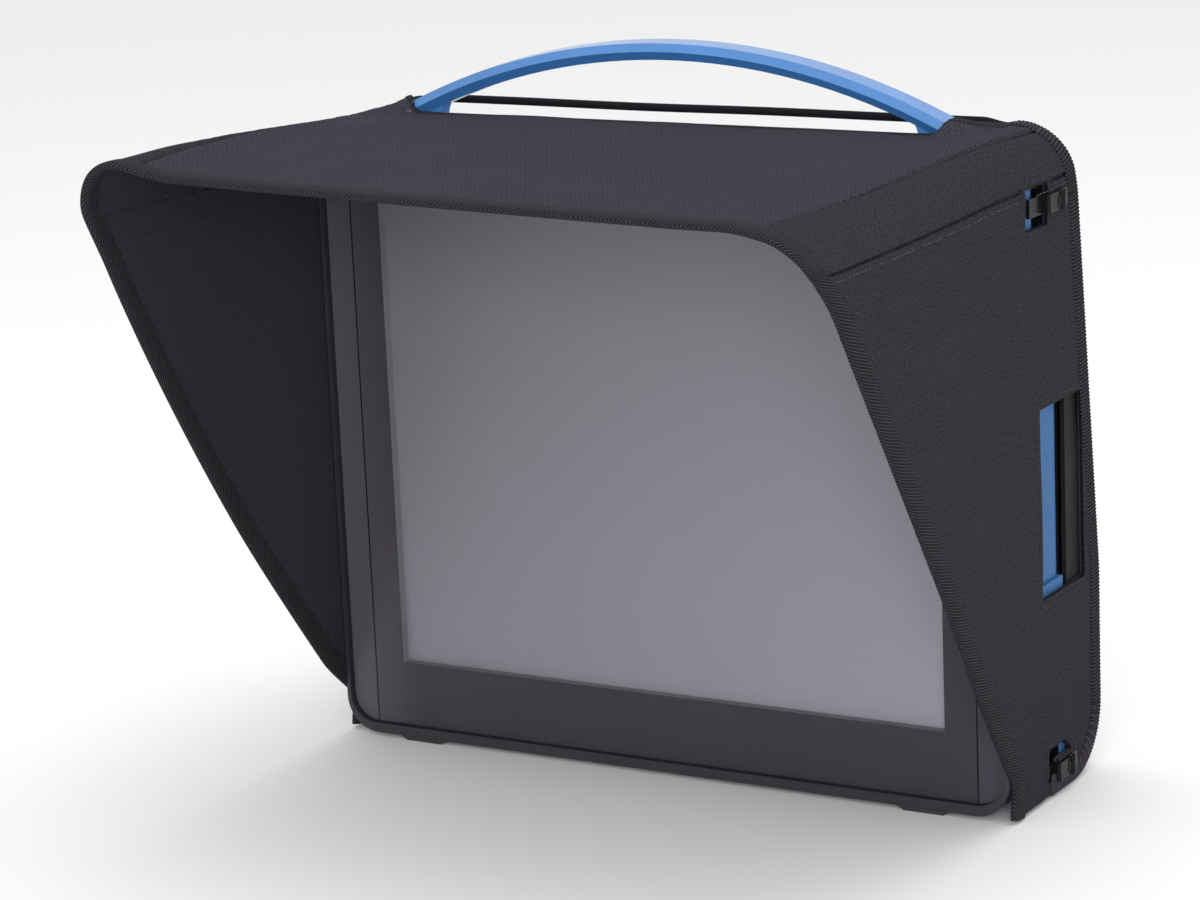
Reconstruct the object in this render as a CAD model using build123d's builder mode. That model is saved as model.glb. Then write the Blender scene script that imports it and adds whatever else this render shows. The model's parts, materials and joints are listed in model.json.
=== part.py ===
"""Portable 17-inch field monitor in a blue die-cast chassis, with its handle and a fabric sun hood.

Millimetres. +Z is up, the screen faces -Y and +X is to the viewer's right.
The origin is on the floor, below the middle of the assembly's bounding box.
"""
from build123d import *
import math
import os

# ---------------------------------------------------------------- driving dimensions

# Monitor body
BODY_WIDTH = 413.6
BODY_BOTTOM = 2.5          # the rubber feet hold the body this far off the floor
BODY_TOP = 347.0
BODY_CORNER = 20.0         # corner radius seen from the front
RIM_FRONT = 46.0           # the front rim stands 1 mm proud of the glass
BEZEL_BACK = 61.0
CHASSIS_BACK = 120.0
COVER_FRONT = 125.0        # a dark gap 5 mm wide separates chassis and rear cover
BODY_REAR = 159.0
CHASSIS_WALL = 5.0
COVER_WALL = 2.5
GAP_DEPTH = 4.0            # how far the dark gap is set in from the sides

# Side view of the body as (Y, Z, radius of the rounded corner)
BODY_SIDE = [
    (RIM_FRONT, BODY_BOTTOM, 0),
    (RIM_FRONT, BODY_TOP, 0),
    (119.0, BODY_TOP, 8),
    (135.0, 309.0, 60),
    (BODY_REAR, 109.0, 90),
    (BODY_REAR, BODY_BOTTOM, 32),
]

# Glass and screen: a 17-inch panel with a 5:4 picture
GLASS_FRONT = 47.0
GLASS_THICK = 3.0
GLASS_HALF = 203.1
GLASS_BOTTOM = 9.0
GLASS_TOP = 340.0
GLASS_CORNER = 15.0
GLASS_GROOVE = 0.5
MASK_THICK = 0.2
PICTURE_WIDTH = 338.0
PICTURE_HEIGHT = 270.4
PICTURE_BOTTOM = 45.5
PICTURE_DEPTH = 8.7        # the picture lies this far behind the front of the glass
SEAL_WIDTH = 11.0
LEDGE = 5.5                # width of the ledge that backs the edge of the glass
MODULE_WIDTH = 358.5
MODULE_HEIGHT = 296.5
CELL_THICK = 2.2
BACKLIGHT_THICK = 11.0
CARRIER_THICK = 1.5
CARRIER_HALF = 200.0

# Screw lugs in the corners of the chassis, at (X, Z)
LUGS = [(-190.0, 30.0), (190.0, 30.0), (-190.0, 300.0), (190.0, 300.0)]
LUG_SIZE = 20.0

# Hand grip recess in each side of the chassis, with a deeper groove at its back
GRIP_FRONT = 80.0
GRIP_BOTTOM = 117.0
GRIP_TOP = 240.0
GRIP_DEPTH = 2.0
GROOVE_FRONT = 115.0
GROOVE_DEPTH = 3.6

# Handle
HANDLE_TOP = 400.0
HANDLE_ARC = 380.0         # radius of the handle's top surface
HANDLE_TIP = 177.0
HANDLE_SECTION = [(79.0, 394.8), (81.1, 399.2), (93.5, HANDLE_TOP), (96.0, 394.8),
                  (92.0, 390.0), (83.0, 390.0)]
FOOT_INNER = 145.4
FOOT_FRONT = 83.4
FOOT_BACK = 91.6
HANDLE_SCREWS_X = (-167.0, -153.0, 153.0, 167.0)
HANDLE_SCREWS_Y = 88.0

# Tripod thread, 3/8-16, in the floor of the chassis
TRIPOD_Y = 98.0
TRIPOD_HOLE = 4.0
TRIPOD_DEPTH = 12.0

# Rubber feet
FOOT_X = 156.5
FOOT_LENGTH = 31.0
FOOT_WIDTH = 12.0
FOOT_BEVEL = 4.0

# Rear of the body
VESA_PITCH = 100.0
VESA_HOLE = 1.65
VESA_Z = 180.0
VESA_PLATE = 122.0
VESA_FLOOR = 139.0
VESA_THICK = 3.0
TRAY_X = (-140.0, 96.0)
TRAY_Z = (36.0, 88.0)
TRAY_FLOOR = 143.0
TRAY_MOUTH = 158.6
TRAY_WALL = 1.2
SOCKET_Z = 62.0
BNC_X = (-122.0, -98.0, -74.0, -50.0)
HDMI_X = (-20.0, 8.0)
INLET_X = 62.0
KEY_Z = 62.0
KEYS = {"menu_button": (116.0, 3.6), "down_button": (129.0, 3.6), "up_button": (142.0, 3.6),
        "input_button": (155.0, 3.6), "power_button": (174.0, 5.6)}     # X and radius
FAN_X = 112.0
FAN_Z = 222.0
FAN_SIZE = 80.0
FAN_FRONT = 119.0
FAN_BACK = 134.0
FAN_PITCH = 71.5

# Boards inside
BOARD_FRONT = 78.4
BOARD_BACK = 80.0
MAIN_BOARD_X = (-30.0, 160.0)
POWER_BOARD_X = (-170.0, -50.0)
BOARD_Z = (130.0, 300.0)
STANDOFFS = [(x, z) for x in (-164.0, -56.0, -24.0, 154.0) for z in (136.0, 294.0)]

# Hood: a bridge-shaped sleeve that slides over the body from the front
HOOD_HALF = 209.5
HOOD_TOP = 357.0
HOOD_CORNER = 26.0
HOOD_THICK = 2.4
OUTER_THICK = 0.8
BOARD_THICK = 1.1
HOOD_FRONT = -164.0
SEAM_X = 196.0             # seam between the top panel and the corner strips
SEAM_Z = 331.5             # seam between the corner strips and the side panels
CUTOUT_FRONT = 77.8
CUTOUT_HALF = 180.0
BINDING_WIDTH = 10.5
BINDING_THICK = 0.9
CORD_RADIUS = 2.4
CORD_Y = 122.0
CORD_Z = 358.0

# Side view of the hood as (Y, Z, radius): slanted in front, following the body behind
HOOD_SIDE = [
    (HOOD_FRONT, HOOD_TOP, 0),
    (HOOD_FRONT, 337.0, 6),
    (50.0, 21.0, 12),
    (47.5, BODY_BOTTOM, 0),
    (164.0, BODY_BOTTOM, 36),
    (164.0, 112.0, 90),
    (138.5, 322.0, 40),
    (127.0, HOOD_TOP, 0),
]

# Openings of the side panels as (Y0, Y1, Z0, Z1)
UPPER_WINDOW = (71.5, 101.0, 310.0, 331.0)
SIDE_SLOT = (87.0, 143.0, 111.0, 213.0)
LOWER_WINDOW = (80.0, 104.0, 6.0, 28.0)
WINDOW_STEP = (104.0, 122.0, 20.0, 28.0)

# Clips that hold the hood: side, Y of the hinge pin, Z of the middle
CLIPS = {"upper_right": (1, 112.5, 320.5), "upper_left": (-1, 112.5, 320.5),
         "lower_right": (1, 115.5, 13.5), "lower_left": (-1, 115.5, 13.5)}
CLIP_HALF = 5.0
CLIP_PIN_X = 212.4
CLIP_PIN = 1.0
CLIP_KNUCKLE = 2.4
KNUCKLE_HALF = 2.9
CLIP_PLATE_LENGTH = 17.0
CLIP_ARM_LENGTH = 16.5
CLIP_TAIL = 11.5

# Black sockets in the chassis sides behind the clips, as (Y0, Y1, Z0, Z1)
UPPER_SOCKET = (85.5, 103.0, 307.0, 333.0)
LOWER_SOCKET = (92.0, 112.0, 11.0, 30.0)
SOCKET_DEPTH = 3.6

FAR = 600.0                # larger than the whole object, for cutting tools

# ---------------------------------------------------------------- derived sizes

body_half = BODY_WIDTH / 2
body_height = BODY_TOP - BODY_BOTTOM
body_middle = (BODY_BOTTOM + BODY_TOP) / 2
glass_height = GLASS_TOP - GLASS_BOTTOM
glass_middle = (GLASS_BOTTOM + GLASS_TOP) / 2
glass_back = GLASS_FRONT + GLASS_THICK
mask_back = glass_back + MASK_THICK
picture_middle = PICTURE_BOTTOM + PICTURE_HEIGHT / 2
cell_front = GLASS_FRONT + PICTURE_DEPTH
cell_back = cell_front + CELL_THICK
backlight_back = cell_back + BACKLIGHT_THICK
carrier_back = backlight_back + CARRIER_THICK
cover_inside = BODY_REAR - COVER_WALL
arc_centre = HANDLE_TOP - HANDLE_ARC

parts = {}


def keep(name, solid):
    """Label a finished sub-part and remember it for export."""
    solid.label = name
    parts[name] = solid


def front_plane(y):
    """Plane at depth y seen from the front, with X to the right and Z up; it faces -Y."""
    return Plane.XZ.offset(-y)


# ---------------------------------------------------------------- shared shapes


def side_face(corners, inset=0.0):
    """Side view outline with rounded corners, moved inwards by inset."""
    with BuildSketch(Plane.YZ) as side:
        with BuildLine():
            Polyline([(y, z) for y, z, radius in corners], close=True)
        make_face()
        for y, z, radius in corners:
            if radius:
                fillet(side.vertices().sort_by_distance((y, z, 0))[0], radius)
        if inset:
            offset(amount=-inset, kind=Kind.INTERSECTION, mode=Mode.REPLACE)
    return side.sketch


def box_between(x0, x1, y0, y1, z0, z1, mode=Mode.ADD):
    """Box given by its limits, for use inside a BuildPart block."""
    with Locations(((x0 + x1) / 2, (y0 + y1) / 2, (z0 + z1) / 2)):
        Box(x1 - x0, y1 - y0, z1 - z0, mode=mode)


def rod(x, z, y0, y1, radius, mode=Mode.ADD):
    """Round bar or hole along Y, for use inside a BuildPart block."""
    with Locations((x, (y0 + y1) / 2, z)):
        Cylinder(radius, y1 - y0, rotation=(90, 0, 0), mode=mode)


def body_envelope(front, back, inset=0.0):
    """Outer shape of the monitor body between two depths, moved inwards by inset."""
    with BuildPart() as envelope:
        with BuildSketch(front_plane(front)):
            with Locations((0, body_middle)):
                RectangleRounded(BODY_WIDTH - 2 * inset, body_height - 2 * inset,
                                 BODY_CORNER - inset)
        extrude(amount=front - back)
        extrude(side_face(BODY_SIDE, inset), amount=FAR / 2, both=True, mode=Mode.INTERSECT)
    return envelope.part


def panel_frame(front, back, width, height, middle, corner):
    """Flat rounded frame between two depths with the picture's window in it."""
    with BuildPart() as frame:
        with BuildSketch(front_plane(front)):
            with Locations((0, middle)):
                RectangleRounded(width, height, corner)
            with Locations((0, picture_middle)):
                Rectangle(PICTURE_WIDTH, PICTURE_HEIGHT, mode=Mode.SUBTRACT)
        extrude(amount=front - back)
    return frame.part


def screw_group(places, tip, seat, head, radius, head_radius):
    """Equal screws along Y: the shank runs from tip to seat, and the head on to head."""
    with BuildPart() as group:
        for x, z in places:
            rod(x, z, min(tip, seat), max(tip, seat), radius)
            rod(x, z, min(seat, head), max(seat, head), head_radius)
    return group.part


def hood_shell(outer_depth, inner_depth, outline, zone=None, hollow=None):
    """Layer of the hood between two depths below its outer face, cut to a side outline.

    A zone keeps only the part near some edges, and hollow takes a second outline away."""
    with BuildPart() as shell:
        for depth, mode in ((outer_depth, Mode.ADD), (inner_depth, Mode.SUBTRACT)):
            with BuildSketch(front_plane(-FAR / 2)):
                with Locations((0, HOOD_TOP - depth)):
                    RectangleRounded(2 * (HOOD_HALF - depth), FAR, HOOD_CORNER - depth,
                                     align=(Align.CENTER, Align.MAX))
            extrude(amount=-FAR, mode=mode)
        extrude(outline, amount=FAR / 2, both=True, mode=Mode.INTERSECT)
        if hollow is not None:
            extrude(hollow, amount=FAR / 2, both=True, mode=Mode.SUBTRACT)
        if zone is not None:
            extrude(zone, amount=FAR / 2, both=True, mode=Mode.INTERSECT)
    return shell.part


def cut_hood_openings(margin=0.0):
    """Remove the side windows and the handle cut-out, grown by margin, from the open block."""
    for y0, y1, z0, z1 in (UPPER_WINDOW, SIDE_SLOT, LOWER_WINDOW, WINDOW_STEP):
        box_between(-FAR / 2, FAR / 2, y0 - margin, y1 + margin, z0 - margin, z1 + margin,
                    mode=Mode.SUBTRACT)
    half = CUTOUT_HALF + margin
    box_between(-half, half, CUTOUT_FRONT - margin, FAR / 2, SEAM_Z, HOOD_TOP + 9,
                mode=Mode.SUBTRACT)


def side_zone(points):
    """Plain polygon in the side view, which says which edges of the hood are meant."""
    with BuildSketch(Plane.YZ) as zone:
        Polygon(*points, align=None)
    return zone.sketch


# ---------------------------------------------------------------- screen and front


def make_front_bezel():
    with BuildPart() as bezel:
        add(body_envelope(RIM_FRONT, BEZEL_BACK))
        fillet(bezel.faces().sort_by(Axis.Y)[0].edges(), 1.5)
        with BuildSketch(front_plane(RIM_FRONT)):
            with Locations((0, glass_middle)):
                RectangleRounded(2 * (GLASS_HALF + GLASS_GROOVE), glass_height + 2 * GLASS_GROOVE,
                                 GLASS_CORNER + GLASS_GROOVE)
        extrude(amount=RIM_FRONT - mask_back, mode=Mode.SUBTRACT)
        with BuildSketch(front_plane(mask_back)):
            with Locations((0, glass_middle)):
                RectangleRounded(2 * (GLASS_HALF - LEDGE), glass_height - 2 * LEDGE,
                                 GLASS_CORNER - LEDGE)
        extrude(amount=mask_back - BEZEL_BACK, mode=Mode.SUBTRACT)
    keep("front_bezel", bezel.part)


def make_cover_glass():
    with BuildPart() as glass:
        with BuildSketch(front_plane(GLASS_FRONT)):
            with Locations((0, glass_middle)):
                RectangleRounded(2 * GLASS_HALF, glass_height, GLASS_CORNER)
        extrude(amount=-GLASS_THICK)
        chamfer(glass.faces().sort_by(Axis.Y)[0].edges(), 0.3)
    keep("cover_glass", glass.part)


def make_screen():
    """Printed mask, dust seal, display cell and backlight, from front to back."""
    keep("glass_mask", panel_frame(glass_back, mask_back, 2 * GLASS_HALF, glass_height,
                                   glass_middle, GLASS_CORNER))
    keep("dust_seal", panel_frame(mask_back, cell_front, PICTURE_WIDTH + 2 * SEAL_WIDTH,
                                  PICTURE_HEIGHT + 2 * SEAL_WIDTH, picture_middle, 4))
    low = picture_middle - MODULE_HEIGHT / 2
    high = picture_middle + MODULE_HEIGHT / 2
    with BuildPart() as cell:
        box_between(-MODULE_WIDTH / 2, MODULE_WIDTH / 2, cell_front, cell_back, low, high)
    keep("display_cell", cell.part)
    with BuildPart() as backlight:
        box_between(-MODULE_WIDTH / 2, MODULE_WIDTH / 2, cell_back, backlight_back, low, high)
        fillet(backlight.edges().filter_by(Axis.Y), 2)
    keep("backlight_unit", backlight.part)


def make_carrier():
    """Steel sheet behind the backlight, which carries the screen and the boards."""
    with BuildPart() as carrier:
        with BuildSketch(front_plane(backlight_back)):
            with Locations((0, body_middle)):
                RectangleRounded(2 * CARRIER_HALF, body_height - 14, 10)
            with Locations((-92, body_middle + 85), (92, body_middle + 85)):
                RectangleRounded(130, 76, 8, mode=Mode.SUBTRACT)
            with Locations(*LUGS):
                Circle(1.6, mode=Mode.SUBTRACT)
        extrude(amount=-CARRIER_THICK)
    keep("screen_carrier", carrier.part)
    keep("carrier_screws", screw_group(LUGS, carrier_back + 7, backlight_back,
                                       backlight_back - 1.6, 1.5, 2.8))


# ---------------------------------------------------------------- chassis and handle


def make_chassis():
    """Die-cast ring with corner lugs, grip recesses, clip sockets and the tripod boss."""
    with BuildPart() as chassis:
        add(body_envelope(BEZEL_BACK, CHASSIS_BACK))
        add(body_envelope(BEZEL_BACK - 1, CHASSIS_BACK + 1, CHASSIS_WALL), mode=Mode.SUBTRACT)
        wall = body_half - CHASSIS_WALL + 0.5
        for x, z in LUGS:
            side = math.copysign(1, x)
            x0, x1 = sorted((side * wall, side * (wall - LUG_SIZE)))
            box_between(x0, x1, carrier_back, CHASSIS_BACK, z - LUG_SIZE / 2, z + LUG_SIZE / 2)
            rod(x, z, carrier_back, carrier_back + 8, 1.55, Mode.SUBTRACT)
            rod(x, z, CHASSIS_BACK - 10, CHASSIS_BACK, 1.55, Mode.SUBTRACT)
        box_between(-14, 14, TRIPOD_Y - 14, TRIPOD_Y + 14, BODY_BOTTOM + 4, BODY_BOTTOM + 15.5)
        with Locations((0, TRIPOD_Y, BODY_BOTTOM + 7)):
            Cylinder(7.55, 14, mode=Mode.SUBTRACT)
        for x in HANDLE_SCREWS_X:
            with Locations((x, HANDLE_SCREWS_Y, BODY_TOP - CHASSIS_WALL / 2)):
                Cylinder(2.75, CHASSIS_WALL + 2, mode=Mode.SUBTRACT)
        for side in (-1, 1):
            face = side * body_half
            for y0, depth in ((GRIP_FRONT, GRIP_DEPTH), (GROOVE_FRONT, GROOVE_DEPTH)):
                x0, x1 = sorted((face - side * depth, face + side * 5))
                box_between(x0, x1, y0, CHASSIS_BACK, GRIP_BOTTOM, GRIP_TOP, Mode.SUBTRACT)
            for y0, y1, z0, z1 in (UPPER_SOCKET, LOWER_SOCKET):
                x0, x1 = sorted((face - side * (CHASSIS_WALL - 0.1), face + side * 5))
                box_between(x0, x1, y0, y1, z0, z1, Mode.SUBTRACT)
    keep("chassis", chassis.part)


def make_clip_sockets():
    """Black cups let into the chassis sides, one behind each clip."""
    floor = body_half - SOCKET_DEPTH
    with BuildPart() as cups:
        for side in (-1, 1):
            for y0, y1, z0, z1 in (UPPER_SOCKET, LOWER_SOCKET):
                x0, x1 = sorted((side * (body_half - CHASSIS_WALL + 0.1), side * body_half))
                box_between(x0, x1, y0, y1, z0, z1)
                x0, x1 = sorted((side * floor, side * (body_half + 1)))
                box_between(x0, x1, y0 + 1, y1 - 1, z0 + 1, z1 - 1, Mode.SUBTRACT)
        add(body_envelope(BEZEL_BACK, CHASSIS_BACK, 0.2), mode=Mode.INTERSECT)
    keep("clip_sockets", cups.part)


def make_handle():
    """Bow handle with a six-sided section on a circular arc, standing on two feet."""
    with BuildPart() as handle:
        with BuildSketch(Plane.YZ):
            with BuildLine():
                Polyline(HANDLE_SECTION, close=True)
            make_face()
        sweep_angle = math.degrees(math.asin((HANDLE_TIP + 8) / HANDLE_ARC))
        revolve(axis=Axis((0, 0, arc_centre), (0, 1, 0)), revolution_arc=sweep_angle)
        with BuildSketch(front_plane(FOOT_FRONT)):
            with BuildLine():
                Line((HANDLE_TIP, BODY_TOP), (FOOT_INNER, BODY_TOP))
                Line((FOOT_INNER, BODY_TOP), (FOOT_INNER, 356.0))
                ThreePointArc((FOOT_INNER, 356.0), (143.6, 361.0), (138.0, 366.0))
                Line((138.0, 366.0), (HANDLE_TIP, 352.0))
                Line((HANDLE_TIP, 352.0), (HANDLE_TIP, BODY_TOP))
            make_face()
        extrude(amount=FOOT_FRONT - FOOT_BACK)
        box_between(0, HANDLE_TIP, 0, FAR, BODY_TOP, FAR, Mode.INTERSECT)
        mirror(about=Plane.YZ)
        for x in HANDLE_SCREWS_X:
            with Locations((x, HANDLE_SCREWS_Y, BODY_TOP + 4)):
                Cylinder(2.55, 10, mode=Mode.SUBTRACT)
    keep("handle", handle.part)

    inside = BODY_TOP - CHASSIS_WALL
    with BuildPart() as screws:
        for x in HANDLE_SCREWS_X:
            with Locations((x, HANDLE_SCREWS_Y, inside + 6)):
                Cylinder(2.5, 12)
            with Locations((x, HANDLE_SCREWS_Y, inside - 2)):
                Cylinder(4.5, 4)
    keep("handle_screws", screws.part)


def make_tripod_insert():
    with BuildPart() as insert:
        with Locations((0, TRIPOD_Y, BODY_BOTTOM + 7)):
            Cylinder(7.5, 14)
        with Locations((0, TRIPOD_Y, BODY_BOTTOM + TRIPOD_DEPTH / 2)):
            Cylinder(TRIPOD_HOLE, TRIPOD_DEPTH, mode=Mode.SUBTRACT)
    keep("tripod_insert", insert.part)


def make_feet():
    """Bevelled rubber feet in pairs: one pair under the bezel, one under the chassis."""
    for name, y0 in (("front_feet", RIM_FRONT + 1.5), ("rear_feet", 104.0)):
        with BuildPart() as feet:
            for x in (-FOOT_X, FOOT_X):
                low, high = x - FOOT_LENGTH / 2, x + FOOT_LENGTH / 2
                with BuildSketch(front_plane(y0)):
                    Polygon((low, BODY_BOTTOM), (low + FOOT_BEVEL, 0), (high - FOOT_BEVEL, 0),
                            (high, BODY_BOTTOM), align=None)
                extrude(amount=-FOOT_WIDTH)
        keep(name, feet.part)


# ---------------------------------------------------------------- rear cover and what it carries


def make_vent_band():
    """Black ring set back between chassis and cover, with slots along top and bottom."""
    with BuildPart() as band:
        add(body_envelope(CHASSIS_BACK, COVER_FRONT, GAP_DEPTH))
        add(body_envelope(CHASSIS_BACK - 1, COVER_FRONT + 1, GAP_DEPTH + 3), mode=Mode.SUBTRACT)
        for x in range(-150, 151, 12):
            box_between(x - 3, x + 3, CHASSIS_BACK + 1, COVER_FRONT - 1, -FAR, FAR,
                        Mode.SUBTRACT)
    keep("vent_band", band.part)


def make_rear_cover():
    half_recess = VESA_PLATE / 2 + 2
    with BuildPart() as cover:
        add(body_envelope(COVER_FRONT, BODY_REAR))
        add(body_envelope(COVER_FRONT - 1, BODY_REAR, COVER_WALL), mode=Mode.SUBTRACT)
        for x, z in LUGS:
            rod(x, z, CHASSIS_BACK, BODY_REAR, 5.5)
        for dx in (-FAN_PITCH / 2, FAN_PITCH / 2):
            for dz in (-FAN_PITCH / 2, FAN_PITCH / 2):
                rod(FAN_X + dx, FAN_Z + dz, FAN_BACK, BODY_REAR, 4)
        for x in (109.5, 184.0):
            for z in (KEY_Z - 11, KEY_Z + 11):
                rod(x, z, 147.6, cover_inside + 1, 2)
        outer = half_recess + COVER_WALL
        box_between(-outer, outer, VESA_FLOOR - COVER_WALL, BODY_REAR, VESA_Z - outer,
                    VESA_Z + outer)
        add(body_envelope(CHASSIS_BACK, BODY_REAR), mode=Mode.INTERSECT)
        box_between(-half_recess, half_recess, VESA_FLOOR, FAR, VESA_Z - half_recess,
                    VESA_Z + half_recess, Mode.SUBTRACT)
        for dx in (-VESA_PITCH / 2, VESA_PITCH / 2):
            for dz in (-VESA_PITCH / 2, VESA_PITCH / 2):
                rod(dx, VESA_Z + dz, VESA_FLOOR - 10, VESA_FLOOR + 1, 2.4, Mode.SUBTRACT)
        box_between(TRAY_X[0], TRAY_X[1], COVER_FRONT, FAR, TRAY_Z[0], TRAY_Z[1], Mode.SUBTRACT)
        for x, radius in KEYS.values():
            rod(x, KEY_Z, COVER_FRONT, FAR, radius + 0.25, Mode.SUBTRACT)
        for x, z in LUGS:
            rod(x, z, CHASSIS_BACK - 1, FAR, 1.7, Mode.SUBTRACT)
            rod(x, z, 128.0, FAR, 3.3, Mode.SUBTRACT)
        for side in (-1, 1):
            for step in range(8):
                z = FAN_Z - 28 + 8 * step
                box_between(side * FAN_X - 30, side * FAN_X + 30, COVER_FRONT, FAR, z - 1.75,
                            z + 1.75, Mode.SUBTRACT)
    keep("rear_cover", cover.part)
    keep("cover_screws", screw_group(LUGS, CHASSIS_BACK - 9, 128.0, 130.2, 1.5, 3.0))


def make_vesa_plate():
    places = [(0, VESA_Z - 55), (0, VESA_Z + 55)]
    with BuildPart() as plate:
        with BuildSketch(front_plane(VESA_FLOOR)):
            with Locations((0, VESA_Z)):
                RectangleRounded(VESA_PLATE, VESA_PLATE, 4)
                with GridLocations(VESA_PITCH, VESA_PITCH, 2, 2):
                    Circle(VESA_HOLE, mode=Mode.SUBTRACT)
        extrude(amount=-VESA_THICK)
        for x, z in places:
            rod(x, z, VESA_FLOOR - 1, VESA_FLOOR + VESA_THICK + 1, 1.6, Mode.SUBTRACT)
            rod(x, z, VESA_FLOOR + 1.4, VESA_FLOOR + VESA_THICK + 1, 3.0, Mode.SUBTRACT)
    keep("vesa_plate", plate.part)
    keep("vesa_screws", screw_group(places, VESA_FLOOR, VESA_FLOOR + 1.4,
                                    VESA_FLOOR + VESA_THICK - 0.1, 1.5, 2.9))


def make_io_tray():
    """Sunk sheet-metal tray for the sockets, open to the rear, with the sockets in its floor."""
    x0, x1 = TRAY_X
    z0, z1 = TRAY_Z
    with BuildPart() as tray:
        box_between(x0, x1, TRAY_FLOOR, TRAY_MOUTH, z0, z1)
        box_between(x0 + TRAY_WALL, x1 - TRAY_WALL, TRAY_FLOOR + TRAY_WALL, TRAY_MOUTH + 1,
                    z0 + TRAY_WALL, z1 - TRAY_WALL, Mode.SUBTRACT)
        for x in BNC_X:
            rod(x, SOCKET_Z, TRAY_FLOOR - 1, TRAY_FLOOR + 3, 5.0, Mode.SUBTRACT)
        for x in HDMI_X:
            box_between(x - 8, x + 8, TRAY_FLOOR - 1, TRAY_FLOOR + 3, SOCKET_Z - 3.5,
                        SOCKET_Z + 3.5, Mode.SUBTRACT)
        rod(INLET_X, SOCKET_Z, TRAY_FLOOR - 1, TRAY_FLOOR + 3, 9.8, Mode.SUBTRACT)
    keep("io_tray", tray.part)

    with BuildPart() as jacks:
        for x in BNC_X:
            box_between(x - 6.5, x + 6.5, 129.6, TRAY_FLOOR - 0.2, SOCKET_Z - 6.5,
                        SOCKET_Z + 6.5)
            rod(x, SOCKET_Z, TRAY_FLOOR - 0.5, 155.0, 4.8)
            with BuildSketch(front_plane(TRAY_FLOOR + TRAY_WALL)):
                with Locations((x, SOCKET_Z)):
                    RegularPolygon(7.2, 6)
            extrude(amount=-2.0)
            rod(x, SOCKET_Z, 147.0, 156.0, 4.1, Mode.SUBTRACT)
            rod(x, SOCKET_Z, 146.5, 153.5, 2.4)
    keep("bnc_jacks", jacks.part)

    with BuildPart() as hdmi:
        for x in HDMI_X:
            box_between(x - 7.8, x + 7.8, 129.6, 149.0, SOCKET_Z - 3.3, SOCKET_Z + 3.3)
            box_between(x - 7.1, x + 7.1, 139.0, 150.0, SOCKET_Z - 2.4, SOCKET_Z + 2.4,
                        Mode.SUBTRACT)
            box_between(x - 5.5, x + 5.5, 138.5, 147.5, SOCKET_Z - 0.6, SOCKET_Z + 0.6)
    keep("hdmi_sockets", hdmi.part)

    with BuildPart() as inlet:
        box_between(INLET_X - 12, INLET_X + 12, 129.6, TRAY_FLOOR - 0.2, SOCKET_Z - 12,
                    SOCKET_Z + 12)
        rod(INLET_X, SOCKET_Z, TRAY_FLOOR - 0.5, 155.0, 9.6)
        rod(INLET_X, SOCKET_Z, 144.5, 156.0, 8.2, Mode.SUBTRACT)
        for dx in (-2.9, 2.9):
            for dz in (-2.9, 2.9):
                rod(INLET_X + dx, SOCKET_Z + dz, 144.0, 153.0, 1.1)
    keep("power_inlet", inlet.part)

    with BuildPart() as board:
        box_between(x0 + 4, x1 - 4, 128.0, 129.6, z0 + 4, z1 - 4)
    keep("io_board", board.part)


def make_keys():
    """Push buttons through the rear cover, and the board with the switches they press."""
    for name, (x, radius) in KEYS.items():
        with BuildPart() as key:
            rod(x, KEY_Z, cover_inside - 1.0, BODY_REAR + 2.0, radius)
            fillet(key.faces().sort_by(Axis.Y)[-1].edges(), 0.6)
            rod(x, KEY_Z, cover_inside - 1.7, cover_inside - 0.1, radius + 1.2)
            rod(x, KEY_Z, 151.0, cover_inside - 1.5, 1.6)
        keep(name, key.part)
    with BuildPart() as board:
        box_between(104.0, 188.0, 146.0, 147.6, KEY_Z - 14, KEY_Z + 14)
    keep("key_board", board.part)
    with BuildPart() as switches:
        for x, _ in KEYS.values():
            box_between(x - 2.6, x + 2.6, 147.6, 149.0, KEY_Z - 2.6, KEY_Z + 2.6)
    keep("key_switches", switches.part)


def make_fan():
    middle = (FAN_FRONT + FAN_BACK) / 2
    with BuildPart() as housing:
        box_between(FAN_X - FAN_SIZE / 2, FAN_X + FAN_SIZE / 2, FAN_FRONT, FAN_BACK,
                    FAN_Z - FAN_SIZE / 2, FAN_Z + FAN_SIZE / 2)
        fillet(housing.edges().filter_by(Axis.Y), 5)
        rod(FAN_X, FAN_Z, FAN_FRONT - 1, FAN_BACK + 1, 38, Mode.SUBTRACT)
        rod(FAN_X, FAN_Z, FAN_FRONT, FAN_FRONT + 2.5, 16)
        box_between(FAN_X - 39, FAN_X + 39, FAN_FRONT, FAN_FRONT + 2, FAN_Z - 2, FAN_Z + 2)
        box_between(FAN_X - 2, FAN_X + 2, FAN_FRONT, FAN_FRONT + 2, FAN_Z - 39, FAN_Z + 39)
        rod(FAN_X, FAN_Z, FAN_FRONT + 2, middle + 2, 1.5)
    keep("fan_housing", housing.part)

    with BuildPart() as rotor:
        rod(FAN_X, FAN_Z, FAN_FRONT + 3.5, FAN_BACK - 0.8, 17)
        for blade in range(7):
            turn = Location((FAN_X, middle + 1.2, FAN_Z)) * Location((0, 0, 0), (0, blade * 360 / 7, 0))
            with Locations(turn * Location((26.0, 0, 0), (38, 0, 0))):
                Box(20.5, 1.3, 13.0)
        rod(FAN_X, FAN_Z, FAN_FRONT, middle + 2.5, 1.56, Mode.SUBTRACT)
    keep("fan_rotor", rotor.part)


# ---------------------------------------------------------------- boards inside


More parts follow.
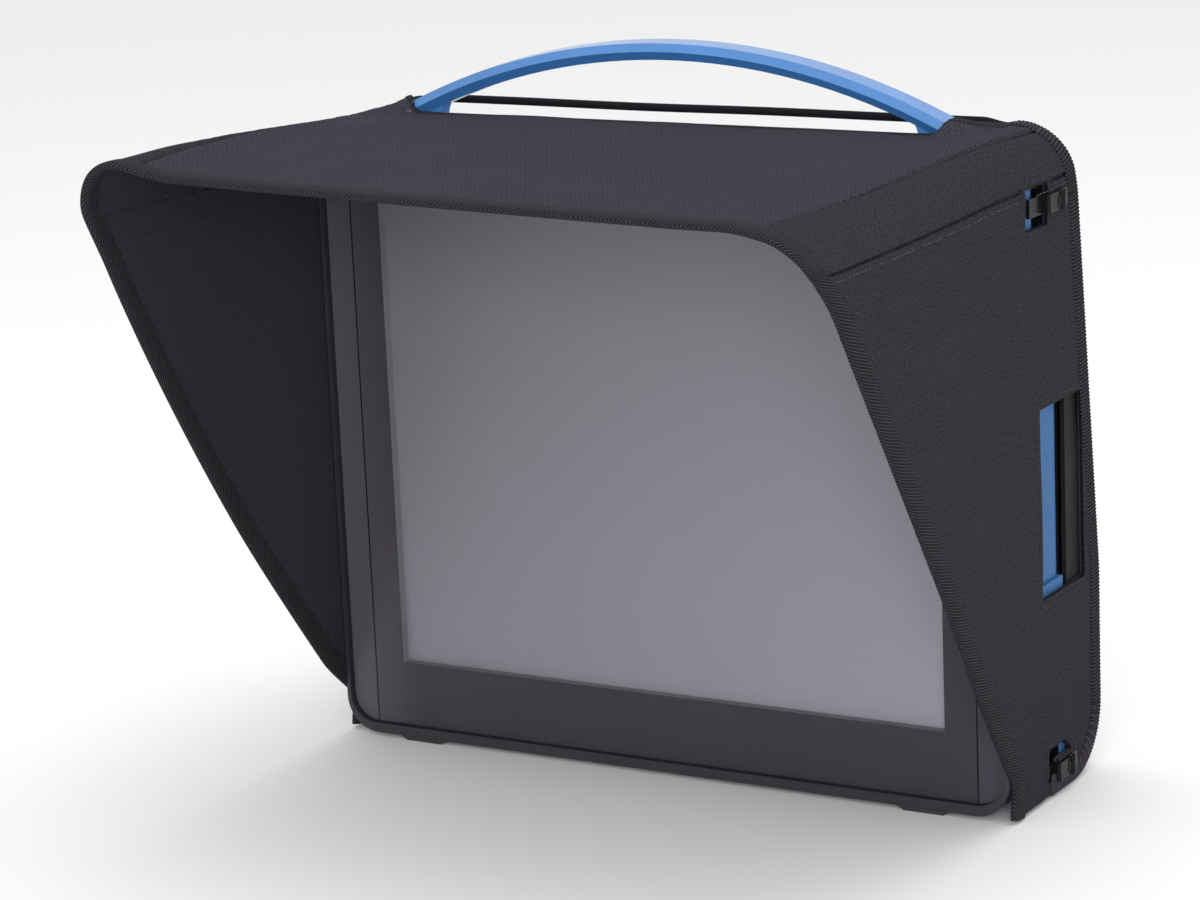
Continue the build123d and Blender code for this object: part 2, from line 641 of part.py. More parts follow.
def make_boards():
    z0, z1 = BOARD_Z
    with BuildPart() as standoffs:
        for x, z in STANDOFFS:
            rod(x, z, carrier_back, BOARD_FRONT, 3)
    keep("board_standoffs", standoffs.part)

    with BuildPart() as main:
        box_between(MAIN_BOARD_X[0], MAIN_BOARD_X[1], BOARD_FRONT, BOARD_BACK, z0, z1)
        box_between(40, 75, BOARD_BACK - 0.1, BOARD_BACK + 2.5, 200, 235)
        for x in (-10, 10, 120, 138):
            box_between(x - 6, x + 6, BOARD_BACK - 0.1, BOARD_BACK + 1.2, 160, 180)
        box_between(-20, 20, BOARD_BACK - 0.1, BOARD_BACK + 6, z0 + 2, z0 + 8)
    keep("main_board", main.part)

    with BuildPart() as power:
        box_between(POWER_BOARD_X[0], POWER_BOARD_X[1], BOARD_FRONT, BOARD_BACK, z0, z1)
        box_between(-150, -115, BOARD_BACK - 0.1, BOARD_BACK + 18, 200, 235)
        for z in (160, 184, 260):
            rod(-75, z, BOARD_BACK - 0.1, BOARD_BACK + 20, 8)
    keep("power_board", power.part)

    with BuildPart() as sink:
        box_between(27, 88, BOARD_BACK + 2.5, BOARD_BACK + 5.5, 187, 248)
        for step in range(11):
            x = 27 + 1 + 5.9 * step
            box_between(x - 0.8, x + 0.8, BOARD_BACK + 5, BOARD_BACK + 22, 187, 248)
    keep("heat_sink", sink.part)

    with BuildPart() as cable:
        box_between(100, 140, backlight_back, BOARD_FRONT, 262, 262.6)
    keep("panel_cable", cable.part)


# ---------------------------------------------------------------- hood


def make_hood_cloth():
    """Outer cloth in five sewn panels, with the windows cut through the sides."""
    with BuildPart() as cloth:
        add(hood_shell(0, OUTER_THICK, side_face(HOOD_SIDE)))
        cut_hood_openings()
    regions = {
        "hood_top_panel": (-SEAM_X, SEAM_X, SEAM_Z, FAR),
        "hood_corner_left": (-FAR, -SEAM_X, SEAM_Z, FAR),
        "hood_corner_right": (SEAM_X, FAR, SEAM_Z, FAR),
        "hood_side_left": (-FAR, 0, -FAR, SEAM_Z),
        "hood_side_right": (0, FAR, -FAR, SEAM_Z),
    }
    for name, (x0, x1, z0, z1) in regions.items():
        with BuildPart() as panel:
            add(cloth.part)
            box_between(x0, x1, -FAR, FAR, z0, z1, Mode.INTERSECT)
        keep(name, panel.part)


def make_hood_boards():
    """Stiffening boards between cloth and lining: one in the roof and one in each side."""
    upper = HOOD_TOP - OUTER_THICK
    roof_half = HOOD_HALF - HOOD_CORNER - 4
    with BuildPart() as roof:
        box_between(-roof_half, roof_half, HOOD_FRONT + 12, CUTOUT_FRONT - 4,
                    upper - BOARD_THICK, upper)
    keep("roof_board", roof.part)
    with BuildPart() as boards:
        add(hood_shell(OUTER_THICK, OUTER_THICK + BOARD_THICK, side_face(HOOD_SIDE, 12)))
        cut_hood_openings(4)
    side_edge = HOOD_TOP - HOOD_CORNER - 4
    for name, x0, x1 in (("side_board_left", -FAR, 0), ("side_board_right", 0, FAR)):
        with BuildPart() as board:
            add(boards.part)
            box_between(x0, x1, -FAR, FAR, -FAR, side_edge, Mode.INTERSECT)
        keep(name, board.part)


def make_hood_lining():
    with BuildPart() as lining:
        add(hood_shell(OUTER_THICK + BOARD_THICK, HOOD_THICK, side_face(HOOD_SIDE)))
        cut_hood_openings()
    keep("hood_lining", lining.part)


def folded_tape(zone, with_inner):
    """Tape folded over an edge of the hood: outer face, rim, and where asked the inner face."""
    outline = side_face(HOOD_SIDE)
    lapped = side_face(HOOD_SIDE, -BINDING_THICK)
    covered = side_face(HOOD_SIDE, BINDING_WIDTH)
    with BuildPart() as tape:
        if with_inner:
            add(hood_shell(HOOD_THICK, HOOD_THICK + BINDING_THICK, lapped, zone, covered))
            box_between(-FAR, FAR, -FAR, RIM_FRONT - 1, -FAR, FAR, Mode.INTERSECT)
        add(hood_shell(-BINDING_THICK, 0, lapped, zone, covered))
        add(hood_shell(0, HOOD_THICK, lapped, zone, outline))
    return tape.part


def make_bindings():
    """Woven tape over the hood's edges and the thin hem in front of the handle."""
    roof_lap = HOOD_FRONT + BINDING_WIDTH
    front_zone = side_zone([(HOOD_FRONT - 9, HOOD_TOP + 9), (roof_lap, HOOD_TOP + 9),
                            (roof_lap, 342.0), (58.0, 29.0), (58.0, -5.0),
                            (HOOD_FRONT - 9, -5.0)])
    keep("hood_front_binding", folded_tape(front_zone, True))

    # Along the bottom the tape is narrow, so that it passes below the lower clips.
    rear_zone = side_zone([(95.0, -5.0), (175.0, -5.0), (175.0, HOOD_TOP + 9),
                           (116.5, HOOD_TOP + 9), (116.5, 345.0), (124.0, 322.0),
                           (132.0, 30.0), (132.0, 7.5), (95.0, 7.5)])
    rear = folded_tape(rear_zone, False)
    for name, x0, x1 in (("rear_binding_left", -FAR, -CUTOUT_HALF),
                         ("rear_binding_right", CUTOUT_HALF, FAR)):
        with BuildPart() as binding:
            add(rear)
            box_between(x0, x1, -FAR, FAR, -FAR, FAR, Mode.INTERSECT)
        keep(name, binding.part)

    with BuildPart() as hem:
        box_between(-CUTOUT_HALF, CUTOUT_HALF, CUTOUT_FRONT - 5, CUTOUT_FRONT + 0.6, HOOD_TOP,
                    HOOD_TOP + 0.6)
        box_between(-CUTOUT_HALF, CUTOUT_HALF, CUTOUT_FRONT, CUTOUT_FRONT + 0.6,
                    HOOD_TOP - HOOD_THICK, HOOD_TOP + 0.3)
    keep("cutout_binding", hem.part)


def make_elastic_cord():
    """Round elastic stretched between the two rear corners of the roof, behind the handle."""
    with BuildPart() as cord:
        with Locations((0, CORD_Y, CORD_Z)):
            Cylinder(CORD_RADIUS, 2 * CUTOUT_HALF, rotation=(0, 90, 0))
    keep("elastic_cord", cord.part)


def upright_rod(x, y, z0, z1, radius, mode=Mode.ADD):
    """Round bar or hole along Z, for use inside a BuildPart block."""
    with Locations((x, y, (z0 + z1) / 2)):
        Cylinder(radius, z1 - z0, mode=mode)


def clip_lever(pin_y, z):
    """Lever of a right-hand clip: plate in the window, step, arm over the cloth, knuckle."""
    step_front = pin_y - CLIP_ARM_LENGTH
    low, high = z - CLIP_HALF, z + CLIP_HALF
    with BuildPart() as lever:
        box_between(207.3, 209.1, step_front - CLIP_PLATE_LENGTH, step_front + 2.2, low, high)
        box_between(207.3, 213.0, step_front, step_front + 2.2, low, high)
        box_between(210.6, 213.0, step_front, pin_y - 3.3, low, high)
        fillet(lever.edges().filter_by(Axis.Z).sort_by_distance((213.0, step_front, z))[0], 1.6)
        box_between(210.6, 213.4, pin_y - 5.0, pin_y, z - KNUCKLE_HALF, z + KNUCKLE_HALF)
        upright_rod(CLIP_PIN_X, pin_y, z - KNUCKLE_HALF, z + KNUCKLE_HALF, CLIP_KNUCKLE)
        upright_rod(CLIP_PIN_X, pin_y, z - FAR, z + FAR, CLIP_PIN + 0.06, Mode.SUBTRACT)
    return lever.part


def clip_anchor(pin_y, z):
    """Anchor of a right-hand clip: a plate riveted to the cloth with two hinge ears."""
    with BuildPart() as anchor:
        box_between(HOOD_HALF, 211.0, pin_y + 2.9, pin_y + CLIP_TAIL, z - CLIP_HALF,
                    z + CLIP_HALF)
        fillet(anchor.faces().sort_by(Axis.Y)[-1].edges().filter_by(Axis.X), 3.0)
        for z0, z1 in ((z - CLIP_HALF, z - KNUCKLE_HALF - 0.2),
                       (z + KNUCKLE_HALF + 0.2, z + CLIP_HALF)):
            box_between(HOOD_HALF, CLIP_PIN_X, pin_y - 0.8, pin_y + 4.0, z0, z1)
            upright_rod(CLIP_PIN_X, pin_y, z0, z1, CLIP_KNUCKLE)
        upright_rod(CLIP_PIN_X, pin_y, z - FAR, z + FAR, CLIP_PIN + 0.02, Mode.SUBTRACT)
    return anchor.part


def make_clips():
    """Four hinged clips on the hood, mirrored from right to left."""
    with BuildPart() as anchors:
        for side, pin_y, z in CLIPS.values():
            anchor = clip_anchor(pin_y, z)
            add(anchor if side > 0 else anchor.mirror(Plane.YZ))
    keep("clip_anchors", anchors.part)
    with BuildPart() as pins:
        for side, pin_y, z in CLIPS.values():
            upright_rod(side * CLIP_PIN_X, pin_y, z - CLIP_HALF, z + CLIP_HALF, CLIP_PIN)
    keep("clip_pins", pins.part)
    for name, (side, pin_y, z) in CLIPS.items():
        lever = clip_lever(pin_y, z)
        keep("clip_" + name, lever if side > 0 else lever.mirror(Plane.YZ))


# ---------------------------------------------------------------- build and export

make_front_bezel()
make_cover_glass()
make_screen()
make_carrier()
make_chassis()
make_clip_sockets()
make_handle()
make_tripod_insert()
make_feet()
make_vent_band()
make_rear_cover()
make_vesa_plate()
make_io_tray()
make_keys()
make_fan()
make_boards()
make_hood_cloth()
make_hood_boards()
make_hood_lining()
make_bindings()
make_elastic_cord()
make_clips()

os.makedirs("parts", exist_ok=True)
for name, solid in parts.items():
    export_step(solid, f"parts/{name}.step")
print(len(parts), "sub-parts written")
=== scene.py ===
"""Looks of the portable field monitor: materials, handle, and the sewn cloth of its sun hood.

Lengths are metres, and sizes written with * MM are millimetres. The screen faces -Y, +Z is up.
"""
import json
import math

import bpy
import numpy as np
from mathutils import Matrix, Vector, noise
from mathutils.geometry import delaunay_2d_cdt


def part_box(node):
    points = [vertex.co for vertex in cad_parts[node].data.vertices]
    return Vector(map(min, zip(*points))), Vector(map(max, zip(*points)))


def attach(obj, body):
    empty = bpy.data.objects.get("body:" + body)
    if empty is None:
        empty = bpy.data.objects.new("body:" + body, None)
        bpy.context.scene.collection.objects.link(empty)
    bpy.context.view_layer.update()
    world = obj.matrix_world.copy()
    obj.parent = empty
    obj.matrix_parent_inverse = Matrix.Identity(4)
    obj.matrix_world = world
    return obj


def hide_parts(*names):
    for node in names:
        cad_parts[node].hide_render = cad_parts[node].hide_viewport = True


MM = 0.001

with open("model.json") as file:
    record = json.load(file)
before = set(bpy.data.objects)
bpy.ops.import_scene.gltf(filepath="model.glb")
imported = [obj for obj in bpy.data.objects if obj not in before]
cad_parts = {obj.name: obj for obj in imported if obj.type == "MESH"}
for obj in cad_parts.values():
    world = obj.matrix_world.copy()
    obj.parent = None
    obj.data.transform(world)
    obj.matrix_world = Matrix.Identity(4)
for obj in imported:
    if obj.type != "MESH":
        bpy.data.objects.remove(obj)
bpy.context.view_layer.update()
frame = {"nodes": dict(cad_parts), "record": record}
nodes = frame["nodes"]

# ---------------------------------------------------------------- camera, floor and light


def make_camera():
    """The camera that took the photo, solved from the object's straight edges."""
    data = bpy.data.cameras.new("camera")
    data.lens = 113.5
    data.sensor_width = 36.0
    camera = bpy.data.objects.new("camera", data)
    bpy.context.scene.collection.objects.link(camera)
    place, aim = Vector((0.9809, -1.6699, 0.6602)), Vector((-0.044, 0.068, 0.176))
    turn = (aim - place).to_track_quat("-Z", "Y").to_matrix().to_4x4()
    roll = Matrix.Rotation(math.radians(-2.48), 4, "Z")
    camera.matrix_world = Matrix.Translation(place) @ turn @ roll
    bpy.context.scene.camera = camera


def make_light(name, place, aim, size, power, color):
    """Rectangular lamp of some size in metres and power in watts, turned towards aim."""
    data = bpy.data.lights.new(name, "AREA")
    data.shape = "RECTANGLE"
    data.size, data.size_y = size
    data.energy = power
    data.color = color
    light = bpy.data.objects.new(name, data)
    bpy.context.scene.collection.objects.link(light)
    turn = (Vector(aim) - Vector(place)).to_track_quat("-Z", "Y")
    light.matrix_world = Matrix.Translation(place) @ turn.to_matrix().to_4x4()


def make_studio():
    """Pale floor, white surroundings and soft lights."""
    world = bpy.data.worlds.new("studio")
    world.use_nodes = True
    background = world.node_tree.nodes["Background"]
    background.inputs["Color"].default_value = (1, 1, 1, 1)
    background.inputs["Strength"].default_value = 0.9
    bpy.context.scene.world = world
    bpy.context.scene.view_settings.view_transform = "Standard"
    make_light("key", (1.3, -2.6, 1.0), (-0.1, 0, 0.2), (1.4, 1.0), 40, (1, 0.99, 0.97))
    make_light("top", (0.2, 0.3, 2.6), (0, 0.05, 0.2), (1.8, 1.4), 20, (0.97, 0.98, 1))
    reach = 6.0
    corners = [(x, y, 0) for x, y in ((-reach, -reach), (reach, -reach), (reach, reach),
                                      (-reach, reach))]
    mesh = bpy.data.meshes.new("floor")
    mesh.from_pydata(corners, [], [(0, 1, 2, 3)])
    floor = bpy.data.objects.new("floor", mesh)
    bpy.context.scene.collection.objects.link(floor)
    floor.data.materials.append(Finish("floor", (0.9, 0.9, 0.9), 0.8).material)


# ---------------------------------------------------------------- material building blocks


class Finish:
    """One procedural material with a Principled shader, and short calls for its nodes."""

    def __init__(self, name, color, roughness, **sockets):
        self.material = bpy.data.materials.new(name)
        self.material.use_nodes = True
        self.tree = self.material.node_tree
        self.shader = self.tree.nodes["Principled BSDF"]
        self.shader.inputs["Base Color"].default_value = (*color, 1)
        self.shader.inputs["Roughness"].default_value = roughness
        for socket, value in sockets.items():
            self.shader.inputs[socket.replace("_", " ")].default_value = value

    def node(self, kind, values=(), **settings):
        """New node with its settings, and values or links for its inputs in order."""
        made = self.tree.nodes.new("ShaderNode" + kind)
        for name, value in settings.items():
            setattr(made, name, value)
        for socket, value in zip(made.inputs, values):
            self.put(socket, value)
        return made

    def put(self, socket, value):
        if isinstance(value, bpy.types.NodeSocket):
            self.tree.links.new(value, socket)
        elif value is not None:
            socket.default_value = value

    def math(self, operation, *values):
        return self.node("Math", values, operation=operation).outputs[0]

    def place(self, attribute=None):
        """Texture coordinates in metres: the object's own, or a named attribute's."""
        if attribute:
            return self.node("Attribute", attribute_name=attribute).outputs["Vector"]
        return self.node("TexCoord").outputs["Object"]

    def axes(self, vector):
        return self.node("SeparateXYZ", (vector,)).outputs

    def noise(self, size, detail=2.0, stretch=(1, 1, 1), vector=None):
        """Cloudy pattern whose blotches are about size metres wide, times stretch."""
        scaled = self.node("VectorMath", (vector or self.place(),
                                          [1 / (size * k) for k in stretch]),
                           operation="MULTIPLY").outputs[0]
        made = self.node("TexNoise")
        self.put(made.inputs["Vector"], scaled)
        made.inputs["Scale"].default_value = 1.0
        made.inputs["Detail"].default_value = detail
        return made.outputs["Fac"]

    def spread(self, value, low, high, start=0.3, end=0.7):
        """Value between start and end mapped to the range from low to high."""
        return self.node("MapRange", (value, start, end, low, high)).outputs[0]

    def blend(self, factor, first, second):
        """Mix of two colours: the first at 0, the second at 1."""
        made = self.node("Mix", data_type="RGBA")
        self.put(made.inputs["Factor"], factor)
        self.put(made.inputs[6], (*first, 1) if isinstance(first, tuple) else first)
        self.put(made.inputs[7], (*second, 1) if isinstance(second, tuple) else second)
        return made.outputs[2]

    def color(self, value):
        self.put(self.shader.inputs["Base Color"], value)

    def rough(self, value):
        self.put(self.shader.inputs["Roughness"], value)

    def bump(self, height, depth, strength=1.0):
        """Surface relief whose full height is depth metres; calls add up."""
        made = self.node("Bump")
        made.inputs["Strength"].default_value = strength
        made.inputs["Distance"].default_value = depth
        self.put(made.inputs["Height"], height)
        before = self.shader.inputs["Normal"]
        if before.is_linked:
            self.put(made.inputs["Normal"], before.links[0].from_socket)
        self.put(before, made.outputs[0])


def tinted(color, factor):
    """The same colour, lighter or darker."""
    return tuple(min(1.0, c * factor) for c in color)


def plain(name, color, roughness, grain=0.4 * MM, relief=0.02 * MM, **sockets):
    """Moulded or painted surface: faint blotches of tone and wear over a fine grain."""
    finish = Finish(name, color, roughness, **sockets)
    cloudy = finish.noise(30 * MM, 3.0)
    finish.color(finish.blend(finish.spread(cloudy, 0, 1), tinted(color, 0.9),
                              tinted(color, 1.1)))
    finish.rough(finish.spread(finish.noise(12 * MM, 4.0), roughness - 0.05, roughness + 0.06))
    finish.bump(finish.noise(grain, 1.0), relief)
    return finish


def brushed(name, color, roughness, stretch):
    """Bare metal with fine lines along the stretched axis."""
    finish = Finish(name, color, roughness, Metallic=1.0)
    lines = finish.noise(0.35 * MM, 2.0, stretch)
    finish.color(finish.blend(lines, tinted(color, 0.85), tinted(color, 1.12)))
    finish.rough(finish.spread(lines, roughness - 0.06, roughness + 0.08))
    finish.bump(lines, 0.01 * MM)
    return finish


def woven(name, color, pitch, ribs, contrast, lean=0.0):
    """Woven cloth. The threads follow the cloth attribute: across and along the hood, and how
    deep the cloth dips into a seam, where painted shade darkens it.

    ribs is how strongly the threads along the hood stand out over those across it, and lean
    how far they slant."""
    finish = Finish(name, color, 0.9, Specular_IOR_Level=0.03)
    place = finish.place("cloth")
    across, along, painted_shade_dip = finish.axes(place)
    wander = finish.math("MULTIPLY", finish.noise(8 * MM, 2.0, vector=place), 3.2 * MM)
    leaning = finish.math("ADD", across, finish.math("MULTIPLY", along, lean))
    u = finish.math("SINE", finish.math("MULTIPLY", finish.math("ADD", leaning, wander),
                                        2 * math.pi / pitch))
    v = finish.math("SINE", finish.math("MULTIPLY", along, 2 * math.pi / pitch))
    knots = finish.math("ADD", finish.math("MULTIPLY", u, v), finish.math("MULTIPLY", u, ribs))
    flecks = finish.noise(1.3 * MM, 3.0, vector=place)
    patches = finish.noise(60 * MM, 3.0, vector=place)
    threads = finish.blend(finish.spread(knots, 0, 1, -1.1, 1.1), tinted(color, 1 - contrast),
                           tinted(color, 1 + contrast))
    open_cloth = finish.blend(finish.spread(flecks, 0, 0.75, 0.42, 0.66), threads,
                              tinted(color, 1.1 + 1.6 * contrast))
    # Painted shade: the cloth turns darker where it dips into a seam.
    finish.color(finish.blend(finish.spread(painted_shade_dip, 0, 0.85, 0.2 * MM, MM), open_cloth,
                              tinted(color, 0.15)))
    finish.rough(finish.spread(patches, 0.82, 0.94))
    finish.bump(knots, 0.10 * MM)
    finish.bump(flecks, 0.12 * MM)
    return finish


def taped(name, color, pitch, slope):
    """Narrow woven tape. The tape attribute holds the place along it and across from its fold,
    where its slanted ribs meet."""
    finish = Finish(name, color, 0.85, Specular_IOR_Level=0.1)
    place = finish.place("tape")
    along, across, _ = finish.axes(place)
    slanted = finish.math("MULTIPLY", finish.math("ABSOLUTE", across), slope)
    rib = finish.math("SINE", finish.math("MULTIPLY", finish.math("ADD", along, slanted),
                                          2 * math.pi / pitch))
    flecks = finish.noise(0.9 * MM, 2.0, vector=place)
    # Painted highlight and shade: the ribs' crests are lighter and the hollows between them
    # darker.
    rib_highlight_and_shade = finish.blend(finish.spread(rib, 0, 1, -0.6, 0.8), tinted(color, 0.15),
                       tinted(color, 2.9))
    finish.color(finish.blend(finish.spread(flecks, 0, 0.5), rib_highlight_and_shade, tinted(color, 2.4)))
    finish.bump(rib, 0.35 * MM)
    finish.bump(flecks, 0.08 * MM)
    return finish


def screen_finish():
    """Satin grey panel with a painted reflection that makes it a little brighter towards its
    lower right.
    """
    finish = Finish("screen", (0.2, 0.2, 0.23), 0.45, Specular_IOR_Level=0.4)
    x, _, z = finish.axes(finish.place())
    low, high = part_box("display_cell")
    right = finish.spread(x, 0, 1, low.x, high.x)
    down = finish.spread(z, 1, 0, low.z, high.z)
    # Painted reflection: the colour brightens to the right and downwards.
    towards = finish.math("MULTIPLY", finish.math("ADD", right, down), 0.5)
    finish.color(finish.blend(towards, (0.135, 0.138, 0.16), (0.29, 0.295, 0.34)))
    finish.rough(finish.spread(finish.noise(25 * MM), 0.42, 0.48))
    return finish


def mask_finish():
    """Black print behind the glass; its outer strips are cooler than its middle, with a line
    between them. The left one gets painted light, paler towards its outer edge."""
    finish = Finish("glass_print", (0.05, 0.048, 0.052), 0.3, Specular_IOR_Level=0.2)
    line_at, half_line = 187.6 * MM, 0.45 * MM
    x = finish.axes(finish.place())[0]
    distance = finish.math("ABSOLUTE", x)
    strip = finish.math("GREATER_THAN", distance, line_at + 0.3 * MM)
    line = finish.math("COMPARE", distance, line_at, half_line)
    tone = finish.blend(strip, (0.042, 0.038, 0.047), (0.053, 0.050, 0.066))
    cloudy = finish.spread(finish.noise(80 * MM), 0, 0.3)
    varied = finish.blend(cloudy, tone, (0.052, 0.047, 0.057))
    # Painted light on the left strip, growing towards its outer edge.
    left = finish.spread(x, 0, 0.5, -160 * MM, -200 * MM)
    varied = finish.blend(left, varied, (0.120, 0.108, 0.132))
    finish.color(finish.blend(line, varied, (0.008, 0.008, 0.009)))
    finish.rough(finish.spread(finish.noise(20 * MM), 0.2, 0.26))
    return finish


def glass_finish():
    """Clear cover glass, with the faint haze of a wiped surface."""
    finish = Finish("cover_glass", (0.01, 0.01, 0.012), 0.05, Alpha=0.03,
                    Specular_IOR_Level=0.0)
    finish.rough(finish.spread(finish.noise(40 * MM), 0.04, 0.07))
    return finish


def circuit_finish():
    """Green solder mask with copper tracks under it."""
    finish = Finish("circuit_board", (0.02, 0.14, 0.06), 0.35)
    x, _, z = finish.axes(finish.place())
    rows = finish.math("PINGPONG", x, 1.4 * MM)
    tracks = finish.math("LESS_THAN", rows, finish.math("MULTIPLY", finish.noise(14 * MM),
                                                        0.9 * MM))
    finish.color(finish.blend(tracks, (0.015, 0.11, 0.05), (0.03, 0.2, 0.09)))
    finish.rough(finish.spread(finish.noise(6 * MM), 0.3, 0.42))
    finish.bump(tracks, 0.03 * MM)
    return finish


BLUE = (0.048, 0.205, 0.53)


def painted(name, color, coat, **sockets):
    """Satin powder coat with its fine orange-peel surface."""
    finish = Finish(name, color, 0.42, Coat_Weight=coat, Coat_Roughness=0.18, **sockets)
    cloudy = finish.noise(45 * MM, 3.0)
    finish.color(finish.blend(finish.spread(cloudy, 0, 1), tinted(color, 0.94),
                              tinted(color, 1.06)))
    finish.rough(finish.spread(finish.noise(8 * MM, 4.0), 0.38, 0.48))
    finish.bump(finish.noise(0.9 * MM, 2.0), 0.015 * MM)
    return finish


def make_finishes():
    """One finish for each material slot of the record."""
    along_x, along_y, round_grain = (40, 1, 1), (1, 40, 1), (3, 3, 3)
    return {
        "blue_paint": painted("blue_paint", BLUE, 0.9),
        "bezel": plain("bezel", (0.026, 0.024, 0.031), 0.45, Specular_IOR_Level=0.3),
        "glass": glass_finish(),
        "mask": mask_finish(),
        "seal": plain("seal", (0.2, 0.2, 0.235), 0.8, 0.8 * MM, 0.1 * MM),
        "display": screen_finish(),
        "backlight": plain("backlight", (0.75, 0.75, 0.73), 0.5),
        "steel": brushed("steel", (0.5, 0.5, 0.51), 0.34, round_grain),
        "aluminium": brushed("aluminium", (0.62, 0.63, 0.65), 0.4, along_x),
        "black_plastic": plain("black_plastic", (0.007, 0.007, 0.009), 0.26,
                               Specular_IOR_Level=0.12),
        "cover_plastic": plain("cover_plastic", (0.007, 0.0065, 0.008), 0.6, 0.7 * MM, 0.06 * MM,
                               Specular_IOR_Level=0.2),
        "key_plastic": plain("key_plastic", (0.075, 0.075, 0.085), 0.45),
        "tray_paint": plain("tray_paint", (0.028, 0.028, 0.03), 0.6, 0.6 * MM, 0.05 * MM),
        "nickel": brushed("nickel", (0.66, 0.63, 0.58), 0.2, along_y),
        "circuit_board": circuit_finish(),
        "ribbon": plain("ribbon", (0.7, 0.69, 0.64), 0.4),
        "rubber": plain("rubber", (0.02, 0.02, 0.02), 0.75, 0.5 * MM, 0.05 * MM),
        "stiffener": plain("stiffener", (0.05, 0.05, 0.05), 0.7),
        "hood_cloth": woven("hood_cloth", (0.0235, 0.0215, 0.0265), 1.8 * MM, 0.1, 0.75),
        "roof_cloth": woven("roof_cloth", (0.0325, 0.0305, 0.0405), 2.6 * MM, 0.6, 0.36, 0.6),
        "lining_cloth": woven("lining_cloth", (0.0300, 0.0262, 0.0340), 1.3 * MM, 0.0, 0.4),
        "binding_tape": taped("binding_tape", (0.0165, 0.0150, 0.0180), 2.3 * MM, -1.1),
        # Its colour is lighter than the front binding's, to stand in for light on the rear
        # edges: painted light.
        "rear_tape": taped("rear_tape", (0.020, 0.0175, 0.0215), 2.0 * MM, 0.0),
        "elastic": taped("elastic", (0.010, 0.009, 0.011), 1.6 * MM, 0.9),
        "thread": plain("thread", (0.004, 0.0035, 0.0045), 0.6, 0.3 * MM, 0.05 * MM),
        "pale_thread": plain("pale_thread", (0.034, 0.032, 0.038), 0.6, 0.3 * MM, 0.05 * MM),
        # Darker, more matte copy of the blue paint for the chassis: painted shade from the hood
        # around it.
        "shaded_blue_paint": painted("shaded_blue_paint", (0.029, 0.120, 0.300), 0.0,
                              Specular_IOR_Level=0.15),
    }


def dress_frame(finishes):
    """Give every CAD node the finish of its slot. The chassis gets a darker copy of the blue
    paint: painted shade from the hood around it.
    """
    for row in frame["record"]["subparts"]:
        piece = nodes[row["node"]]
        # The chassis takes the copy with painted shade.
        look = "shaded_blue_paint" if row["node"] == "chassis" else row["material_slot"]
        piece.data.materials.clear()
        piece.data.materials.append(finishes[look].material)


# ---------------------------------------------------------------- mesh helpers


def new_piece(name, points, faces, finish, body, attribute=None, values=None):
    """Mesh object from points and faces, with its finish and body."""
    mesh = bpy.data.meshes.new(name)
    mesh.from_pydata([tuple(p) for p in points], [], [tuple(f) for f in faces])
    if attribute:
        layer = mesh.attributes.new(attribute, "FLOAT_VECTOR", "POINT")
        layer.data.foreach_set("vector", np.asarray(values, np.float32).ravel())
    mesh.materials.append(finish.material)
    mesh.shade_smooth()
    mesh.set_sharp_from_angle(angle=math.radians(50))
    piece = bpy.data.objects.new(name, mesh)
    bpy.context.scene.collection.objects.link(piece)
    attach(piece, body)
    return piece


def smooth(value, start, end):
    """0 before start, 1 past end, and a smooth rise between them; start may be above end."""
    t = np.clip((np.asarray(value, float) - start) / (end - start), 0, 1)
    return t * t * (3 - 2 * t)


def cloudy(u, v, size_u, size_v, seed):
    """Smooth noise from about -1 to 1 over a surface with coordinates u and v."""
    return np.array([noise.noise(Vector((a / size_u, b / size_v, seed)))
                     for a, b in zip(np.ravel(u), np.ravel(v))]).reshape(np.shape(u))


def rounded(points, step):
    """Polyline through (u, v, radius) points with round corners, resampled evenly."""
    line = []
    for i, (u, v, radius) in enumerate(points):
        corner = np.array((u, v))
        if not radius:
            line.append(corner)
            continue
        before = np.array(points[i - 1][:2]) - corner
        after = np.array(points[i + 1][:2]) - corner
        before, after = before / np.linalg.norm(before), after / np.linalg.norm(after)
        half = math.acos(np.clip(before @ after, -1, 1)) / 2
        middle = (before + after) / np.linalg.norm(before + after)
        centre = corner + middle * radius / math.sin(half)
        start, end = (corner + side * radius / math.tan(half) for side in (before, after))
        for t in np.linspace(0, 1, 13):
            ray = (start - centre) * (1 - t) + (end - centre) * t
            line.append(centre + ray * radius / np.linalg.norm(ray))
    return resampled(np.array(line), step)


def resampled(line, step):
    """The same polyline with points about step apart."""
    lengths = np.linalg.norm(np.diff(line, axis=0), axis=1)
    run = np.concatenate(([0], np.cumsum(lengths)))
    wanted = np.linspace(0, run[-1], max(2, int(round(run[-1] / step)) + 1))
    return np.stack([np.interp(wanted, run, line[:, k]) for k in range(line.shape[1])], 1)


def closed_line(ring):
    """Line round a polygon, ending where it starts."""
    return np.vstack([ring, ring[:1]])


def inside(points, polygon):
    """Which points lie inside a closed polygon."""
    x, y = points[:, 0], points[:, 1]
    result = np.zeros(len(points), bool)
    for (x0, y0), (x1, y1) in zip(polygon, np.roll(polygon, -1, axis=0)):
        if y0 != y1:
            crosses = ((y0 > y) != (y1 > y)) & (x < (x1 - x0) * (y - y0) / (y1 - y0) + x0)
            result ^= crosses
    return result


def edge_distance(points, lines):
    """Distance from each point to the nearest of some polylines."""
    nearest = np.full(len(points), np.inf)
    for line in lines:
        for a, b in zip(line[:-1], line[1:]):
            d = b - a
            t = np.clip(((points - a) @ d) / max(d @ d, 1e-18), 0, 1)
            nearest = np.minimum(nearest, np.linalg.norm(points - a - t[:, None] * d, axis=1))
    return nearest


# ---------------------------------------------------------------- the hood's surface

